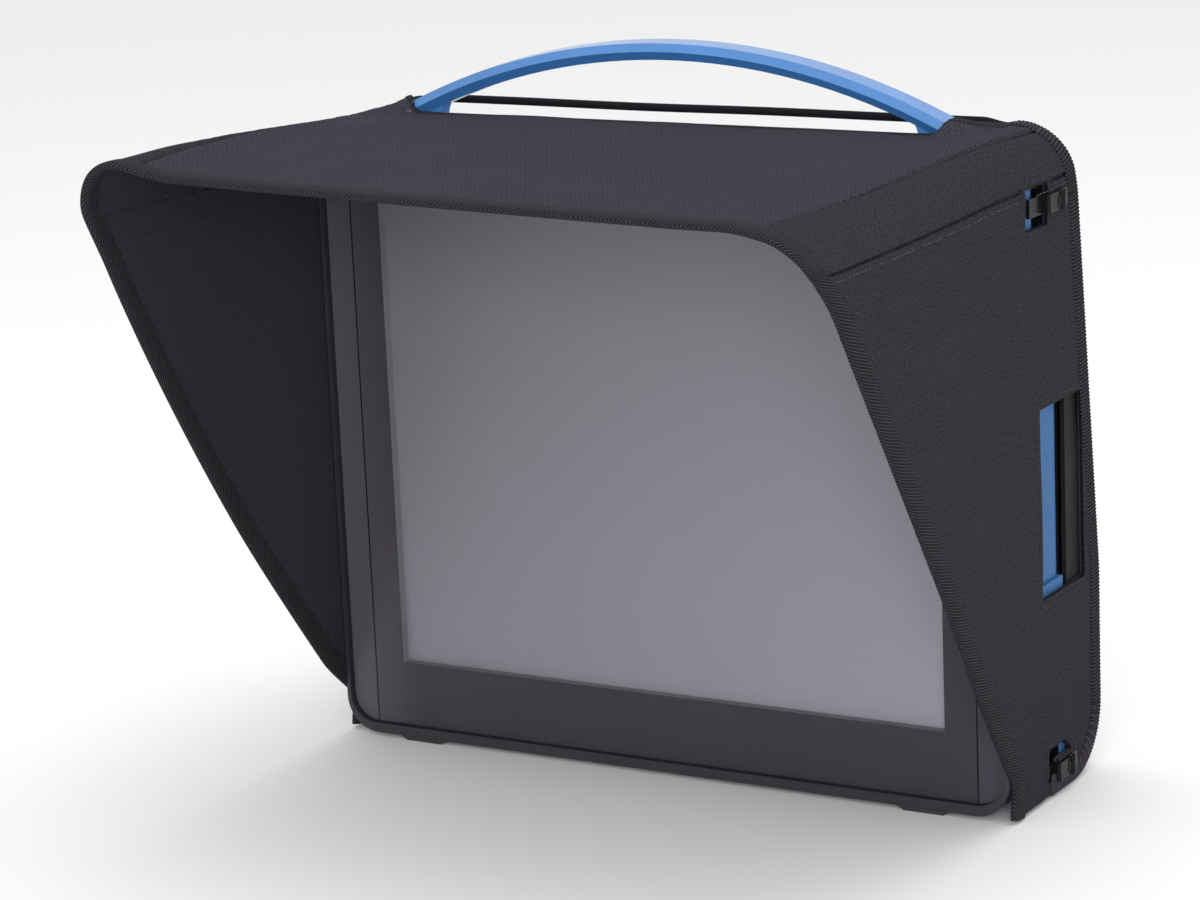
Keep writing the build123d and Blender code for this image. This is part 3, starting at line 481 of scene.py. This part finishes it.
roof_low, roof_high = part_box("hood_top_panel")
wall_low, wall_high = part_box("hood_side_right")
TOP = roof_high.z
HALF = wall_high.x
BOTTOM = wall_low.z
FRONT = roof_low.y + 2.6 * MM
RADIUS = 26 * MM                 # corner between roof and side at the rear
CUT_RIGHT = 7.0 * MM             # how far that corner gives way in front, on the right
CUT_LEFT = -9.0 * MM             # and on the left, where it is sharper
GIVE_REACH = 46 * MM             # how far from its middle a corner gives way
FLARE = 5.0 * MM                 # how far the sides bow outwards in front of the body
OVER_TIPS = 0.7 * MM             # gap between the handle's tips and the cloth over them
FLAT = HALF - RADIUS
ARC = RADIUS * math.pi / 2
CLOTH = 0.8 * MM
BOARD = 1.1 * MM
LINING = 0.5 * MM
HOOD = CLOTH + BOARD + LINING
ROOF_SEAM = FLAT + RADIUS * math.asin((196 * MM - FLAT) / RADIUS)
SIDE_SEAM = FLAT + ARC - 0.3 * MM
handle_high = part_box("handle")[1]
board_low, board_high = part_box("side_board_right")

SKEW = {1: 0.0, -1: 9 * MM}      # the roof's left front corner stands this much further back
BOW = {1: 7 * MM, -1: 12 * MM}   # and the slanted edges sag forwards by this much
TUCK = {1: 0.0, -1: 7 * MM}      # and their lower ends are tucked behind the bezel by this much
SPREAD = 17 * MM                 # the corner strips are this much wider in front

# Side view of the hood's edges as (Y, Z, radius)
SLANT_END = 51 * MM
FRONT_EDGE = [(FRONT, TOP, 0), (FRONT, 335 * MM, 16 * MM), (SLANT_END, 21 * MM, 14 * MM),
              (49 * MM, BOTTOM, 0)]
REAR_EDGE = [(127 * MM, TOP, 0), (138.5 * MM, 322 * MM, 40 * MM),
             (161 * MM, 112 * MM, 90 * MM), (161 * MM, BOTTOM, 36 * MM), (95 * MM, BOTTOM, 0)]

# Openings in the sides as (Y, Z) corners, in millimetres
UPPER_WINDOW = [(71.5, 309.5), (100, 309.5), (101, 312), (101, 331), (71.5, 331)]
SIDE_SLOT = [(86.5, 111), (143, 111), (143, 214), (86.5, 214)]
LOWER_WINDOW = [(91, 9), (103, 9), (103, 20), (122, 20), (113, 28), (91, 28)]


def run_at(z):
    """Distance along the section from the roof's middle to a height on the side."""
    z = np.asarray(z, float)
    turned = np.arccos(np.clip((z - (TOP - RADIUS)) / RADIUS, 0, 1))
    return FLAT + RADIUS * turned + np.maximum(TOP - RADIUS - z, 0)


def sewn(edge, step=3 * MM):
    """Side view edge as (distance along the section, Y) points."""
    line = rounded(edge, step)
    return np.stack([run_at(line[:, 1]), line[:, 0]], 1)


def handle_top(x):
    """Height of the handle's upper face, which is a circular arc. It ends within its reach."""
    arc, reach = 380 * MM, 300 * MM
    return handle_high.z - arc + np.sqrt(arc ** 2 - np.minimum(np.abs(x), reach) ** 2)


def roof_drop(x):
    """How far the roof's front edge hangs down: most towards the right."""
    return (7.8 * np.clip((x + 196 * MM) / (330 * MM), 0, 1) ** 0.8 - 2.5) * MM


def hood_surface(run, y, depth=0.0):
    """Points and outward normals of the hood at some depth below its outer face."""
    run, y = np.asarray(run, float), np.asarray(y, float)
    side, away = np.sign(run), np.abs(run)
    forward = smooth(y, 85 * MM, FRONT + 50 * MM)
    bend = np.clip((away - FLAT) / ARC, 0, 1) * math.pi / 2
    x = np.minimum(away, FLAT) + RADIUS * np.sin(bend)
    z = TOP - RADIUS * (1 - np.cos(bend)) - np.maximum(away - FLAT - ARC, 0)
    normal = np.stack([side * np.sin(bend), np.zeros_like(bend), np.cos(bend)], -1)
    # The sides bow outwards between the roof and their lower edge.
    sunk = np.clip((away - FLAT) / (float(run_at(BOTTOM)) - FLAT), 0, 1)
    x = x + FLARE * smooth(y, 55 * MM, -45 * MM) * np.sin(math.pi * sunk) ** 0.8
    # In front, the corners give way towards the inside or stand out.
    corner = np.cos(np.clip((away - FLAT - ARC / 2) / GIVE_REACH, -1, 1) * math.pi / 2) ** 2
    give = np.where(side > 0, CUT_RIGHT, CUT_LEFT) * forward * corner * math.sqrt(0.5)
    x = side * (x - give)
    z = z - give - roof_drop(x) * forward * np.cos(bend)
    # Behind, the roof lies over the handle's tips.
    over = np.maximum(handle_top(x) + OVER_TIPS + HOOD - z, 0)
    near = smooth(y, 64 * MM, 79 * MM) * smooth(y, 132 * MM, 108 * MM)
    tips = smooth(np.abs(x), 157 * MM, 167 * MM) * smooth(np.abs(x), 194 * MM, 186 * MM)
    points = np.stack([x, y, z + over * near * tips], -1)
    return points - normal * np.asarray(depth)[..., None] * np.ones_like(normal), normal


def wrinkles(run, y):
    """Soft unevenness of the sewn cloth, never inwards."""
    folds = cloudy(run, y, 60 * MM, 13 * MM, 3.0) * smooth(y, -60 * MM, 110 * MM)
    swell = cloudy(run, y, 55 * MM, 45 * MM, 9.0)
    return MM * (0.55 + 0.55 * folds + 0.4 * swell)


# ---------------------------------------------------------------- cloth panels


def inset_rows(polygon, distances):
    """Points set in from a closed polygon's edge, a row for each distance."""
    ahead, behind = np.roll(polygon, -1, axis=0), np.roll(polygon, 1, axis=0)
    along = ahead - behind
    inward = np.stack([-along[:, 1], along[:, 0]], 1)
    inward /= np.maximum(np.linalg.norm(inward, axis=1), 1e-12)[:, None]
    area = np.sum(polygon[:, 0] * ahead[:, 1] - ahead[:, 0] * polygon[:, 1])
    return [polygon + inward * distance * np.sign(area) for distance in distances]


SLIVER = 1e-8                    # a triangle whose doubled area is below this is left out


def triangulated(outline, holes, spacing, rows):
    """Points and triangles that fill an outline with holes, with extra rows near the edges."""
    rings = [outline] + holes
    edge_lines = [closed_line(ring) for ring in rings]
    low, high = outline.min(0), outline.max(0)
    columns = np.arange(low[0] + spacing / 2, high[0], spacing)
    lines = np.arange(low[1] + spacing / 2, high[1], spacing * 0.866)
    grid = np.array([(u + (k % 2) * spacing / 2, v) for k, v in enumerate(lines)
                     for u in columns])
    clear = edge_distance(grid, edge_lines)
    grid = grid[clear > max(rows) + spacing * 0.45]
    extra = inset_rows(outline, rows)
    for hole in holes:
        extra += inset_rows(hole, [-d for d in rows])
    free = np.vstack([grid] + extra)
    keep = inside(free, outline)
    for hole in holes:
        keep &= ~inside(free, hole)
    far = edge_distance(free, edge_lines) > min(rows) * 0.6
    free = free[keep & far]
    points, edges = np.vstack(rings + [free]), []
    start = 0
    for ring in rings:
        count = len(ring)
        edges += [(start + i, start + (i + 1) % count) for i in range(count)]
        start += count
    made = delaunay_2d_cdt([Vector(p) for p in points], edges, [], 0, 1e-7)
    flat = np.array([tuple(v) for v in made[0]])
    triangles = np.array([f for f in made[2] if len(f) == 3])
    middle = flat[triangles].mean(1)
    inner = inside(middle, outline)
    for hole in holes:
        inner &= ~inside(middle, hole)
    triangles = triangles[inner]
    a, b, c = (flat[triangles[:, k]] for k in range(3))
    turn = (b - a)[:, 0] * (c - a)[:, 1] - (b - a)[:, 1] * (c - a)[:, 0]
    triangles[turn < 0] = triangles[turn < 0][:, ::-1]
    return flat, triangles[np.abs(turn) > SLIVER]


def two_sided(upper, lower, triangles):
    """Closed skin from an upper and a lower layer over the same triangles."""
    count = len(upper)
    directed = {(int(t[i]), int(t[(i + 1) % 3])) for t in triangles for i in range(3)}
    rim = [(a, b) for a, b in directed if (b, a) not in directed]
    faces = [tuple(t) for t in triangles]
    faces += [tuple(int(v) + count for v in t[::-1]) for t in triangles]
    faces += [(b, a, a + count, b + count) for a, b in sorted(rim)]
    return np.vstack([upper, lower]), faces


def make_cloth(name, outline, holes, depth, thickness, relief, look, spacing=4.5 * MM,
               rows=(0.7 * MM, 1.8 * MM, 4.2 * MM)):
    """Cloth panel with a real thickness, laid on the hood at some depth.

    look is its finish, its slot and the nodes it stands for; the slot is not used."""
    finish, slot, stands_for = look
    flat, triangles = triangulated(outline, holes, spacing, rows)
    height = relief(flat[:, 0], flat[:, 1])
    top_points, normals = hood_surface(flat[:, 0], flat[:, 1], depth)
    upper = top_points + normals * height[:, None]
    lower = upper - normals * thickness
    points, faces = two_sided(upper, lower, triangles)
    # How deep the cloth dips into a seam, which the finish turns into painted shade.
    painted_shade_dip = np.clip(-height, 0, MM) if depth == 0 else np.zeros(len(flat))
    place = np.column_stack([flat, painted_shade_dip])
    piece = new_piece(name, points, faces, finish, "hood", "cloth",
                      np.vstack([place, place]))
    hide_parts(*stands_for)
    return piece, flat, triangles


def face_height(run, y):
    """Height of the outer cloth over the hood's plain outer face.

    It is flat under the binding, turned under at its seams and doubled round its openings."""
    run, y = np.atleast_1d(run), np.atleast_1d(y)
    away = np.abs(run)
    places = np.stack([away, y], 1)
    to_edge = np.where(run > 0, edge_distance(places, [front_line[1], rear_line, flap_line]),
                       edge_distance(places, [front_line[-1], rear_line, flap_line]))
    free = smooth(to_edge, 9 * MM, 14 * MM)
    to_seam = np.minimum(np.abs(away - roof_seam(y)), np.abs(away - SIDE_SEAM))
    to_hole = edge_distance(places, [closed_line(window) for window in windows(1)])
    turned_under = 1.4 - 1.4 * smooth(to_seam, 0.0, 1.9 * MM)
    swell = smooth(to_seam, 0.4 * MM, 2.2 * MM) * smooth(to_seam, 9 * MM, 3 * MM)
    hem = smooth(to_hole, 6.2 * MM, 4.8 * MM)
    lip = 1.0 - smooth(to_hole, 0.0, 0.9 * MM)
    pucker = cloudy(run, y, 5 * MM, 5 * MM, 5.0)
    height = wrinkles(run, y) + (0.5 + 0.4 * pucker) * MM * swell
    return free * height - 1.0 * MM * turned_under + (0.5 * hem - 0.5 * lip) * MM


def lining_height(run, y):
    """Inner cloth, with a welt where each side is sewn to the roof."""
    welt = 1.0 - smooth(np.abs(np.abs(run) - FLAT - ARC), 0.5 * MM, 2.2 * MM)
    return -1.1 * MM * welt - 0.15 * MM * (1 + cloudy(run, y, 25 * MM, 40 * MM, 2.0))


def no_height(run, _):
    """Flat sheet."""
    return np.zeros(len(run))


def closed(line, step=3 * MM):
    """Closed polygon with points about step apart, without its repeated last point."""
    return resampled(closed_line(line), step)[:-1]


def windows(side):
    """The three openings of one side panel, as polygons on the hood's surface."""
    found = []
    for corners in (UPPER_WINDOW, SIDE_SLOT, LOWER_WINDOW):
        line = np.array([(side * float(run_at(z * MM)), y * MM) for y, z in corners])
        found.append(closed(line, 2.5 * MM))
    return found


def widened(ring, extra):
    """The same opening, wider and taller by extra."""
    middle = ring.mean(0)
    return middle + (ring - middle) * (1 + extra / np.ptp(ring, axis=0))


def cut_between(line, low, high):
    """Part of an edge line whose run lies between two limits, with exact ends."""
    ys = np.interp([low, high], line[:, 0], line[:, 1])
    middle = line[(line[:, 0] > low + 1e-6) & (line[:, 0] < high - 1e-6)]
    return np.vstack([[low, ys[0]], middle, [high, ys[1]]])


def rear_part(low, high):
    """Part of the rear edge between two runs, down to the bottom corner where it turns."""
    downward = rear_line[:np.argmax(rear_line[:, 0]) + 1]
    return cut_between(downward, low, high)


def mirrored(line, side):
    """A right-hand line of (run, Y) points, on the right (1) or the left (-1)."""
    return line * (side, 1)


def both_sides(right, left):
    """Outline across the hood from its right and left halves, given outwards from the middle."""
    return np.vstack([mirrored(left[::-1], -1), right])


def roof_seam(y):
    """Distance of the roof seam from the roof's middle: the strips widen towards the front."""
    return ROOF_SEAM - SPREAD * np.clip((rear_line[0, 1] - y) / (rear_line[0, 1] - FRONT), 0, 1)


def roof_outline():
    """Roof panel, with the flaps that lie over the handle's tips at the ends of its cut-out."""
    seam_rear = rear_part(ROOF_SEAM, ROOF_SEAM)[:1]
    halves = [np.vstack([[(roof_seam(line[0, 1]), line[0, 1])], seam_rear])
              for line in (front_line[1], front_line[-1])]
    rear = both_sides(flap_line[::-1], flap_line[::-1])
    return closed(np.vstack([both_sides(*halves), rear[::-1]]))


def strip_outline(side):
    """Strip between roof seam and side seam."""
    line = front_line[side]
    front = cut_between(line, float(roof_seam(line[0, 1])), SIDE_SEAM)
    rear = rear_part(ROOF_SEAM, SIDE_SEAM)
    return closed(mirrored(np.vstack([front, rear[::-1]]), side))


def side_outline(side):
    """Side panel below its seam."""
    low, bottom = SIDE_SEAM, float(run_at(BOTTOM))
    front = cut_between(front_line[side], low, bottom)
    corner = rear_line[np.argmax(rear_line[:, 0]):]
    rear = np.vstack([rear_part(low, bottom - 0.2 * MM), corner])
    return closed(mirrored(np.vstack([front, rear[::-1]]), side))


def lining_outline():
    """One sheet from one bottom edge over the roof to the other, with the handle's cut-out."""
    bottom = float(run_at(BOTTOM))
    halves = [np.vstack([cut_between(front_line[side], FLAT, bottom), rear_line[::-1]])
              for side in (1, -1)]
    rear = both_sides(flap_line[::-1], flap_line[::-1])
    return closed(np.vstack([both_sides(*halves), rear[::-1]]), 4 * MM)


def hanging(line, side):
    """The front edge as it hangs: set back towards its corner, and sagging where it slants."""
    share = np.clip((SLANT_END - line[:, 1]) / (SLANT_END - FRONT), 0, 1)
    sag = BOW[side] * np.sin(math.pi * share).clip(0) ** 0.6
    tuck = TUCK[side] * smooth(line[:, 0], float(run_at(48 * MM)), float(run_at(16 * MM)))
    return line + np.column_stack([np.zeros_like(share), SKEW[side] * share - sag + tuck])


front_line = {side: hanging(sewn(FRONT_EDGE), side) for side in (1, -1)}
rear_line = sewn(REAR_EDGE)
# Rear edge of the roof beside the handle's cut-out as (run, Y), in millimetres
FLAP = [(145, 77.8), (155, 78.6), (164, 83), (172, 94), (178.5, 112), (180, 127)]
flap_line = resampled(np.array(FLAP[::-1]) * MM, 2 * MM)


def make_hood_cloth():
    """Five outer panels and the lining, each cut flat and laid on the hood."""
    cloth, roof = finishes["hood_cloth"], finishes["roof_cloth"]
    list(make_cloth("hood_roof", roof_outline(), [], 0.0, CLOTH, face_height,
                        (roof, "hood_cloth", ["hood_top_panel"])))
    for side, word in ((1, "right"), (-1, "left")):
        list(make_cloth("hood_panel_" + word, side_outline(side), windows(side), 0.0, CLOTH,
                            face_height, (cloth, "hood_cloth", ["hood_side_" + word])))
        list(make_cloth("hood_strip_" + word, strip_outline(side), [], 0.0, CLOTH,
                            face_height, (cloth, "hood_cloth", ["hood_corner_" + word])))
    lining = (finishes["lining_cloth"], "lining_cloth", ["hood_lining"])
    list(make_cloth("hood_inner", lining_outline(), windows(1) + windows(-1),
                        CLOTH + BOARD, LINING, lining_height, lining, 7 * MM,
                        (0.8 * MM, 4 * MM)))


def board_outline(side):
    """Board in a side, set in from the side's edges."""
    low, high = (float(run_at(z)) for z in (board_high.z, board_low.z))
    front = cut_between(front_line[side], low, high) + (0, 14 * MM)
    rear = rear_part(low, high) - (0, 12 * MM)
    return closed(mirrored(np.vstack([front, rear[::-1]]), side), 8 * MM)


def make_boards():
    """Thin boards between the cloths of roof and sides. They hang with them."""
    look = finishes["stiffener"], "stiffener"
    low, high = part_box("roof_board")
    roof = closed(np.array([(low.x, low.y + SKEW[-1]), (high.x, low.y), (high.x, high.y),
                            (low.x, high.y)]), 8 * MM)
    make_cloth("hood_roof_board", roof, [], CLOTH, BOARD - 0.1 * MM, no_height,
               (*look, ["roof_board"]), 12 * MM, (3 * MM,))
    for side, word in ((1, "right"), (-1, "left")):
        gaps = [widened(window, 8 * MM) for window in windows(side)]
        make_cloth("hood_board_" + word, board_outline(side), gaps, CLOTH, BOARD - 0.1 * MM,
                   no_height, (*look, ["side_board_" + word]), 12 * MM, (3 * MM,))


# ---------------------------------------------------------------- bindings, hems and stitches

# Sections of folded tape as (distance in from the edge, depth below the hood's face), in mm
FRONT_TAPE = [(10.6, 0.1), (10.3, -0.75), (9.4, -1.0), (5, -1.1), (1.4, -1.0), (0, -0.65),
              (-0.7, 0.1), (-0.95, 1.2), (-0.7, 2.3), (0, 3.0), (1.4, 3.35), (5, 3.45),
              (9.4, 3.35), (10.3, 3.1), (10.6, 2.3), (6, 2.2), (6, 0.2)]
REAR_TAPE = [(10.6, 0.1), (10.3, -0.8), (9.4, -1.1), (7, -1.2), (4, -1.25), (1.4, -1.1),
             (0, -0.75), (-0.7, 0), (-0.9, 1.1), (-0.5, 2.1), (0.4, 2.2), (1.2, 1.2), (6, 0.2)]
CUTOUT_TAPE = [(4.2, 0.1), (3.9, -0.6), (2, -0.75), (0.3, -0.6), (-0.5, 0.2), (-0.7, 1.3),
               (-0.4, 2.5), (0.4, 3.0), (3.9, 2.9), (4.2, 2.3), (2, 1.5)]
RIB = 2.0 * MM                   # pitch of the ribs across a rear tape
PAST_TAPE = 11 * MM              # where stitches start beside a tape


def inwards(edge, turn):
    """Unit steps from an edge line into the cloth."""
    along = np.gradient(edge, axis=0)
    along /= np.linalg.norm(along, axis=1)[:, None]
    return np.stack([-along[:, 1], along[:, 0]], 1) * turn


def make_tape(name, edge, turn, section, stands_for, ribs=0.0, step=2.2 * MM,
              look="binding_tape"):
    """Tape folded over an edge of the hood. turn is 1 where the cloth is left of the edge."""
    edge = resampled(edge, step)
    inner = inwards(edge, turn)
    gone = np.concatenate(([0], np.cumsum(np.linalg.norm(np.diff(edge, axis=0), axis=1))))
    rib = ribs * 0.5 * (1 + np.cos(2 * math.pi * gone / RIB))
    profile = np.array(section)
    around = np.concatenate(([0], np.cumsum(np.linalg.norm(np.diff(profile, axis=0), axis=1))))
    around -= around[np.argmin(profile[:, 0])]
    rings, places = [], []
    for (inset, depth), across in zip(section, around):
        outer = 1.0 if depth < 1.5 else 0.0
        place = edge + inner * (inset * MM - outer * rib[:, None] * (inset < 0.5))
        points, _ = hood_surface(place[:, 0], place[:, 1], depth * MM - outer * rib)
        rings.append(points)
        places.append(np.stack([gone, np.full_like(gone, across * MM), gone * 0], 1))
    count, turns = len(edge), len(section)
    points, places = np.vstack(rings), np.vstack(places)
    faces = []
    for k in range(turns):
        after = (k + 1) % turns
        for i in range(count - 1):
            a, b = k * count + i, after * count + i
            faces.append((a, b, b + 1, a + 1))
    faces.append([k * count for k in range(turns)][::-1])
    faces.append([k * count + count - 1 for k in range(turns)])
    if turn < 0:
        faces = [face[::-1] for face in faces]
    tape = new_piece(name, points, faces, finishes[look], "hood", "tape", places)
    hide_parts(*stands_for)


def make_bindings():
    """Tape round the front edge, the two rear edges and the handle's cut-out."""
    front = both_sides(front_line[1], front_line[-1])
    make_tape("front_tape", front, 1, FRONT_TAPE, ["hood_front_binding"])
    rear = rear_line[np.argmax(rear_line[:, 0] >= 180 * MM):]
    for side, word in ((1, "right"), (-1, "left")):
        make_tape("rear_tape_" + word, mirrored(rear, side), -side, REAR_TAPE,
                  ["rear_binding_" + word], 0.4 * MM, 0.5 * MM, "rear_tape")
    cutout = both_sides(flap_line[::-1], flap_line[::-1])
    make_tape("cutout_tape", cutout, -1, CUTOUT_TAPE, ["cutout_binding"])


def outside(marks):
    """Height of stitches on the outer cloth."""
    return face_height(marks[:, 0], marks[:, 1]) + 0.12 * MM


def within(marks):
    """Height of stitches on the inner cloth."""
    return lining_height(marks[:, 0], marks[:, 1]) - HOOD - 0.12 * MM


def stitch_row(line, height, broken=0.0):
    """Thread stitches along a line of (run, Y) points. broken is the share left out."""
    pitch, length, radius, sides = 4.2 * MM, 3.2 * MM, 0.34 * MM, 6
    line = resampled(np.asarray(line), pitch / 4)
    points, faces = [], []
    profile = [(-0.5, 0.15), (-0.42, 0.75), (0.0, 1.0), (0.42, 0.75), (0.5, 0.15)]
    for i in range(0, len(line) - 4, 4):
        if broken and noise.random() < broken:
            continue
        place, along = line[i], line[i + 3] - line[i]
        along = along / np.linalg.norm(along)
        marks = np.array([place + along * length * t for t, _ in profile])
        centre, normal = hood_surface(marks[:, 0], marks[:, 1])
        centre = centre + normal * height(marks)[:, None]
        across = np.cross(centre[-1] - centre[0], normal[0])
        across /= np.linalg.norm(across)
        start = len(points)
        for (_, width), spot, up in zip(profile, centre, normal):
            for k in range(sides):
                angle = 2 * math.pi * k / sides
                points.append(spot + radius * width * (math.cos(angle) * across
                                                       + math.sin(angle) * up))
        last = start + (len(profile) - 1) * sides
        for ring in range(start, last, sides):
            for k in range(sides):
                a, b = ring + k, ring + (k + 1) % sides
                faces.append((a, a + sides, b + sides, b))
        faces.append([start + k for k in range(sides)])
        faces.append([last + k for k in reversed(range(sides))])
    return points, faces


def make_thread(name, rows, finish):
    """One piece of several stitch rows, each (line, height, share left out)."""
    points, faces = [], []
    for line, height, broken in rows:
        more, links = stitch_row(line, height, broken)
        faces += [[v + len(points) for v in face] for face in links]
        points += more
    new_piece(name, points, faces, finish, "hood")


def along_seam(side, run):
    """Line beside a seam from the front binding to the rear one."""
    line = front_line[side]
    start = np.interp(run, line[:, 0], line[:, 1]) + PAST_TAPE
    return [(side * run, start), (side * run, rear_part(run, run)[0, 1] - PAST_TAPE)]


def along_roof_seam(side):
    """Line just inside the slanted roof seam."""
    ends = (front_line[side][0, 1] + PAST_TAPE,
            rear_part(ROOF_SEAM, ROOF_SEAM)[0, 1] - PAST_TAPE)
    return [(side * (roof_seam(y) - 0.4 * MM), y) for y in ends]


def make_stitches():
    """Rows of stitches in the seams and round the windows, and a paler row below each side seam.
    """
    noise.seed_set(4)
    for side, word in ((1, "right"), (-1, "left")):
        dark = [(along_roof_seam(side), outside, 0.0),
                (along_seam(side, SIDE_SEAM - 0.4 * MM), outside, 0.0),
                (along_seam(side, FLAT + ARC + 1.6 * MM), within, 0.0)]
        for window in windows(side):
            dark.append((closed_line(widened(window, 7 * MM)), outside, 0.0))
        make_thread("hood_stitches_" + word, dark, finishes["thread"])
        pale = [(along_seam(side, SIDE_SEAM + 4.2 * MM), outside, 0.25)]
        make_thread("hood_topstitch_" + word, pale, finishes["pale_thread"])


# ---------------------------------------------------------------- elastic cord


def make_tube(name, path, radius, sides, finish, body):
    """Tube along a path of points, with closed ends and the tape attribute."""
    path = np.asarray(path)
    along = np.gradient(path, axis=0)
    along /= np.linalg.norm(along, axis=1)[:, None]
    across = np.cross(along, (0, 0, 1.0))
    across /= np.linalg.norm(across, axis=1)[:, None]
    up = np.cross(across, along)
    gone = np.concatenate(([0], np.cumsum(np.linalg.norm(np.diff(path, axis=0), axis=1))))
    points, places = [], []
    for k in range(sides):
        angle = 2 * math.pi * k / sides
        points.append(path + radius[:, None] * (math.cos(angle) * across
                                                + math.sin(angle) * up))
        turned = abs(math.remainder(angle, 2 * math.pi)) * 2.4 * MM
        places.append(np.stack([gone, np.full_like(gone, turned), gone * 0], 1))
    count = len(path)
    faces = [(k * count + i, k * count + i + 1, (k + 1) % sides * count + i + 1,
              (k + 1) % sides * count + i) for k in range(sides) for i in range(count - 1)]
    faces.append([k * count for k in range(sides)])
    faces.append([k * count + count - 1 for k in range(sides)][::-1])
    return new_piece(name, np.vstack(points), faces, finish, body, "tape",
                     np.vstack(places))


def make_elastic():
    """Braided elastic behind the handle. Its ends are sewn under the roof's rear corners."""
    low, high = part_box("elastic_cord")
    radius, reach = (high.z - low.z) / 2, high.x
    x = np.linspace(-reach, reach, 721)
    ends = smooth(np.abs(x), reach - 16 * MM, reach)
    y = (low.y + high.y) / 2 + 0.25 * MM * np.sin(x / (19 * MM)) - 1.5 * MM * ends
    z = (low.z + high.z) / 2 + 0.2 * MM * np.sin(x / (31 * MM)) - 2.2 * MM * ends
    braid = radius - 0.12 * MM + 0.12 * MM * np.cos(2 * math.pi * x / (1.6 * MM))
    piece = make_tube("elastic_band", np.stack([x, y, z], 1), braid, 12, finishes["elastic"],
                      "hood")
    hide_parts("elastic_cord")


# ---------------------------------------------------------------- run

finishes = make_finishes()
make_camera()
make_studio()
dress_frame(finishes)
make_hood_cloth()
make_boards()
make_bindings()
make_stitches()
make_elastic()
